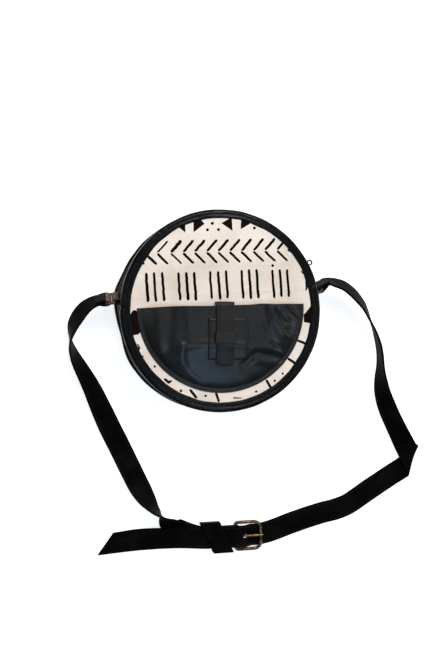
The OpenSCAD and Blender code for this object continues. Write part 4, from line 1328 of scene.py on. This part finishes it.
def strap_warp(seed):
    """Uneven faces and edges, with a groove under the stitches."""
    def warp(u, v, mid):
        edge = abs(u) / (STRAP_W / 2)
        v += 0.14 * ripple((mid.x + u, mid.y, mid.z), 11.0, seed) * (1 if v > 0 else 0.3)
        groove = 0.16 * bell(STRAP_W / 2 - abs(u), STITCH_INSET, 0.7)
        v -= math.copysign(groove, v) if abs(v) > STRAP_T * 0.4 else 0
        u += 0.15 * edge * ripple((mid.x, mid.y, u), 16.0, seed + 3)
        return u, v
    return warp


SEWN_OVER = LOOP_REACH - 4
strap_section = outline(STRAP_W, STRAP_T, 0.7, 16)
left_anchor = anchor(ANCHOR_HIGH, *RING_LEFT).to_translation()
right_anchor = anchor(ANCHOR_LOW, *RING_RIGHT).to_translation()


def on_left_run(p):
    return p.x < CHAPE_END + 1.5 and (p - left_anchor).length > SEWN_OVER


left_frames = strap_frames(LEFT_ROUTE, on_left_run)
strap_left = sweep("strap_left_run", left_frames, strap_section, strap_leather, False, strap_warp(3.0))
dress(strap_left, "leather_strap", LEFT_BEND, "strap_left")

CREASE = Vector((230.1, -182.6, 6.3))
CREASE_WAY = Vector((0.962, -0.274, 0.0))
CREASE_R = 2.5
TAIL_START = 194.0
TAIL_END = -134.0
TAIL_SLANT = 40.0
TAIL_CUT = 45.0
PRONG_SLOT_W = 3.8
# The prong's slot in its two stretches, each from x to x and from z to z
PRONG_SLOT = ((25.5, 36.0, 6.5, 14.5), (15.0, 26.2, 6.5, 12.1))


def creased(place, normal, over):
    """A point over the strap's middle surface, turned back under it past the crease."""
    past = (place - CREASE).dot(CREASE_WAY)
    if past <= 0:
        return place + normal * over
    turned = min(past, math.pi * CREASE_R)
    r = CREASE_R + (place.z - CREASE.z) * (1 - smooth_step(0, 2.5 * CREASE_R, past)) + over
    a = turned / CREASE_R
    out = place + CREASE_WAY * (r * math.sin(a) - past - (past - turned))
    out.z = CREASE.z - CREASE_R + r * math.cos(a)
    return out


sections = []
right_warp = strap_warp(5.0)
creased_frames = strap_frames(RIGHT_ROUTE, lambda p: (p - right_anchor).length > SEWN_OVER)
buckle_frames = strap_frames(BUCKLE_ROUTE, lambda p: TAIL_END < p.x < TAIL_START)
for mid, side, normal in creased_frames:
    warped = [right_warp(u, v, mid) for u, v in strap_section]
    sections.append([creased(mid + side * u, normal, v) for u, v in warped])
slant = math.tan(math.radians(TAIL_SLANT))
for mid, side, normal in buckle_frames:
    ramp = 1 - smooth_step(TAIL_END, TAIL_END + TAIL_CUT, mid.x)
    line = []
    for u, v in strap_section:
        u, v = right_warp(u, v, mid)
        line.append(mid + side * u + normal * v + Vector((side.y * u * slant * ramp, 0, 0)))
    sections.append(line)
strap_right = loft("strap_right_run", sections, strap_leather)
slot_y = (STRAP_Y - PRONG_SLOT_W / 2, STRAP_Y + PRONG_SLOT_W / 2)
cut_away(strap_right, [block(x0, x1, *slot_y, z0, z1) for x0, x1, z0, z1 in PRONG_SLOT])
dress(strap_right, "leather_strap", RIGHT_BEND, "strap_right")


def strap_stitch_lines(frames, first, last):
    """Lines of stitches beside both edges of a run of the strap, on both faces."""
    lines = []
    for sign in (-1, 1):
        for face in (1, -1):
            over = sign * (STRAP_W / 2 - STITCH_INSET)
            rise = face * (STRAP_T / 2 - 0.02)
            lines.append([(mid + side * over + normal * rise, normal * face)
                          for mid, side, normal in frames[first:last]])
    return lines


STRAP_STITCH = (3.6, 2.6, 0.26)
stitches("strap_left_stitches", strap_stitch_lines(left_frames, 2, -8), LEFT_BEND, *STRAP_STITCH)
before_crease = [f for f in creased_frames if (f[0] - CREASE).dot(CREASE_WAY) < -STRAP_W]
stitches("strap_right_stitches",
         strap_stitch_lines(before_crease, 2, None) + strap_stitch_lines(buckle_frames, 0, -45),
         RIGHT_BEND, *STRAP_STITCH)


# Buckle leather

HEEL_BAR_R = 2.0
HEEL_SLOT = (-9.5, 9.0, 2.3)
CHAPE_MID_R = HEEL_BAR_R + BAR_GAP + STRAP_T / 2
lower_z = CHAPE_Z0 + STRAP_T / 2
upper_z = CHAPE_Z0 + 1.5 * STRAP_T
over_heel = HEEL_Z + CHAPE_MID_R
path = []
for k in range(9):
    path.append((CHAPE_END + (HEEL_X - 3 - CHAPE_END) * k / 8, lower_z - 0.3 * smooth_step(5, 8, k)))
for a in range(0, 181, 15):
    path.append((HEEL_X + CHAPE_MID_R * math.sin(math.radians(a)),
                 HEEL_Z - CHAPE_MID_R * math.cos(math.radians(a))))
for k in range(1, 10):
    path.append((HEEL_X - (HEEL_X - CHAPE_END) * k / 9,
                 over_heel - (over_heel - upper_z) * smooth_step(0, 4, k)))
chape_frames = []
for k, (x, z) in enumerate(path):
    before, after = neighbours(path, k)
    along = Vector((after[0] - before[0], 0, after[1] - before[1])).normalized()
    side = Vector((0, 1, 0))
    chape_frames.append((Vector((x, STRAP_Y, z)), side, along.cross(side)))
chape = sweep("buckle_chape_fold", chape_frames, outline(STRAP_W, STRAP_T - 0.06, 0.7, 8), strap_leather)
cut_away(chape, [block(HEEL_X + HEEL_SLOT[0], HEEL_X + HEEL_SLOT[1],
                       STRAP_Y - HEEL_SLOT[2], STRAP_Y + HEEL_SLOT[2], -1.0, 14.0)])
dress(chape, "leather_strap", "bag", "buckle_chape")

KEEPER_X = -5.0
KEEPER_L = 23.0
KEEPER_T = 1.1
KEEPER_SKEW = 0.42
KEEPER_HALF_W = 17.4
KEEPER_Z0 = 0.75
KEEPER_Z1 = 12.5
KEEPER_R = 1.4
inner_y = KEEPER_HALF_W - KEEPER_R
corners = ((inner_y, KEEPER_Z1 - KEEPER_R), (-inner_y, KEEPER_Z1 - KEEPER_R),
           (-inner_y, KEEPER_Z0 + KEEPER_R), (inner_y, KEEPER_Z0 + KEEPER_R))
ways = ((1, 0), (0, 1), (-1, 0), (0, -1))
keeper_path = []
for n, (cy, cz) in enumerate(corners):
    for k in range(5):
        a = math.radians(90 * n + 90 * k / 4)
        out_y, out_z = math.cos(a), math.sin(a)
        keeper_path.append((cy + KEEPER_R * out_y, cz + KEEPER_R * out_z, out_y, out_z))
    y_at, z_at = keeper_path[-1][:2]
    next_y, next_z = corners[(n + 1) % 4]
    out_y, out_z = ways[(n + 1) % 4]
    run_y, run_z = next_y + KEEPER_R * out_y - y_at, next_z + KEEPER_R * out_z - z_at
    for k in range(1, 6):
        keeper_path.append((y_at + run_y * k / 6, z_at + run_z * k / 6, out_y, out_z))
keeper_frames = []
for y, z, ny, nz in keeper_path:
    mid = Vector((KEEPER_X - KEEPER_SKEW * y, STRAP_Y + y, z))
    keeper_frames.append((mid, Vector((1, 0, 0)), Vector((0, ny, nz))))
dress(sweep("strap_keeper_band", keeper_frames, outline(KEEPER_L, KEEPER_T, 0.4, 6), strap_leather, True),
      "leather_strap", "bag", "strap_keeper")


# Materials of the solids that stay

for names, material in ((("back_board", "front_board_lower", "front_board_upper"), board_card),
                        (("zip_teeth_back", "zip_teeth_front", "zip_teeth_ends", "zip_stops"), zip_metal),
                        (("zip_slider", "zip_pull"), slider_metal),
                        (("ring_left", "ring_right"), ring_brass),
                        (("buckle_frame", "buckle_prong"), brass)):
    for name in names:
        node = nodes[name]
        if not node.material_slots:
            node.data.materials.append(material)
        for holder in node.material_slots:
            holder.link = "OBJECT"
            holder.material = material


# Camera, floor and light

CAMERA_D = 1500.0
CAMERA_F = 1354.0
LEAN = 10.0
ROLL = 2.0
IMAGE_W = 440
IMAGE_H = 660
SENSOR_W = 36.0
MIDDLE_PX = (219.95, 310.15)
MIDDLE = Vector((-2.0, 0.7, 65.0))

back = Vector((-math.tan(math.radians(LEAN)), 0, 1)).normalized()
right = Vector((0, 1, 0)).cross(back).normalized()
up = back.cross(right)
c, s = math.cos(math.radians(ROLL)), math.sin(math.radians(ROLL))
right, up = right * c - up * s, right * s + up * c
dx = (MIDDLE_PX[0] - IMAGE_W / 2) * CAMERA_D / CAMERA_F
dy = -(MIDDLE_PX[1] - IMAGE_H / 2) * CAMERA_D / CAMERA_F
stand = MIDDLE - right * dx - up * dy + back * CAMERA_D
camera_data = bpy.data.cameras.new("camera")
camera_data.sensor_fit = "AUTO"
camera_data.sensor_width = SENSOR_W
camera_data.lens = CAMERA_F / IMAGE_H * SENSOR_W
camera_data.clip_start = 0.05
camera_data.clip_end = 20.0
camera = bpy.data.objects.new("camera", camera_data)
bpy.context.scene.collection.objects.link(camera)
rows = [(right[n], up[n], back[n], stand[n] * MM) for n in range(3)]
camera.matrix_world = Matrix((*rows, (0, 0, 0, 1)))
bpy.context.scene.camera = camera

FLOOR_HALF = 3000.0
FLOOR_Z = -0.4
FLOOR_GLOW = 0.75
FLOOR_GREY = (0.82, 0.82, 0.82, 1)

paper = bpy.data.materials.new("floor_paper")
paper.use_nodes = True
tree = paper.node_tree
tree.nodes.clear()
rays = add_node(tree, "ShaderNodeLightPath").outputs
seen = rays["Is Camera Ray"]
for ray in ("Is Glossy Ray", "Is Transmission Ray"):
    seen = add_node(tree, "ShaderNodeMath", {0: seen, 1: rays[ray]}, operation="MAXIMUM").outputs[0]
strength = add_node(tree, "ShaderNodeMath", {0: seen, 1: FLOOR_GLOW}, operation="MULTIPLY")
diffuse = add_node(tree, "ShaderNodeBsdfDiffuse", {"Color": FLOOR_GREY})
glow = add_node(tree, "ShaderNodeEmission", {"Color": WHITE, "Strength": strength.outputs[0]})
total = add_node(tree, "ShaderNodeAddShader", {0: diffuse.outputs[0], 1: glow.outputs[0]})
add_node(tree, "ShaderNodeOutputMaterial", {"Surface": total.outputs[0]})
floor_points = []
for x, y in ((-1, -1), (1, -1), (1, 1), (-1, 1)):
    floor_points.append(Vector((x * FLOOR_HALF, y * FLOOR_HALF, FLOOR_Z)))
make("floor", floor_points, [(0, 1, 2, 3)], paper, False)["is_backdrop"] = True

world = bpy.data.worlds.new("studio")
bpy.context.scene.world = world
world.use_nodes = True
tree = world.node_tree
place = add_node(tree, "ShaderNodeTexCoord").outputs["Generated"]
height = add_node(tree, "ShaderNodeSeparateXYZ", {0: place}).outputs["Z"]
shade = colour_ramp(tree, height, [(0.0, (0.1, 0.1, 0.1, 1)), (1.0, (0.2, 0.2, 0.21, 1))])
tree.links.new(shade, tree.nodes["Background"].inputs["Color"])


def lamp(name, place, target, size, watts, colour):
    """A soft rectangular lamp, its place and size in metres."""
    data = bpy.data.lights.new(name, "AREA")
    data.shape = "RECTANGLE"
    data.size, data.size_y = size
    data.energy = watts
    data.color = colour
    obj = bpy.data.objects.new(name, data)
    bpy.context.scene.collection.objects.link(obj)
    obj.location = place
    obj.rotation_mode = "QUATERNION"
    obj.rotation_quaternion = (Vector(target) - Vector(place)).to_track_quat("-Z", "Y")


lamp("key_light", (0.25, 1.1, 1.6), (0, 0, 0), (1.0, 0.6), 27, (1, 0.97, 0.94))
lamp("side_light", (-1.3, 0.2, 1.3), (0, 0, 0), (0.4, 1.2), 3, (0.96, 0.98, 1))
lamp("low_light", (0.1, -0.75, 1.75), (0, -0.1, 0), (0.9, 0.5), 6.8, (0.5, 0.75, 1))
lamp("strip_light", (0.6, 0, 2.2), (0, 0, 0), (0.16, 1.6), 3, (0.85, 0.92, 1))
lamp("right_light", (1.3, -0.2, 1.1), (0, 0, 0), (0.3, 0.9), 3.5, (0.94, 0.97, 1))

bpy.context.scene.view_settings.view_transform = "Standard"

low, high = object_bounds()
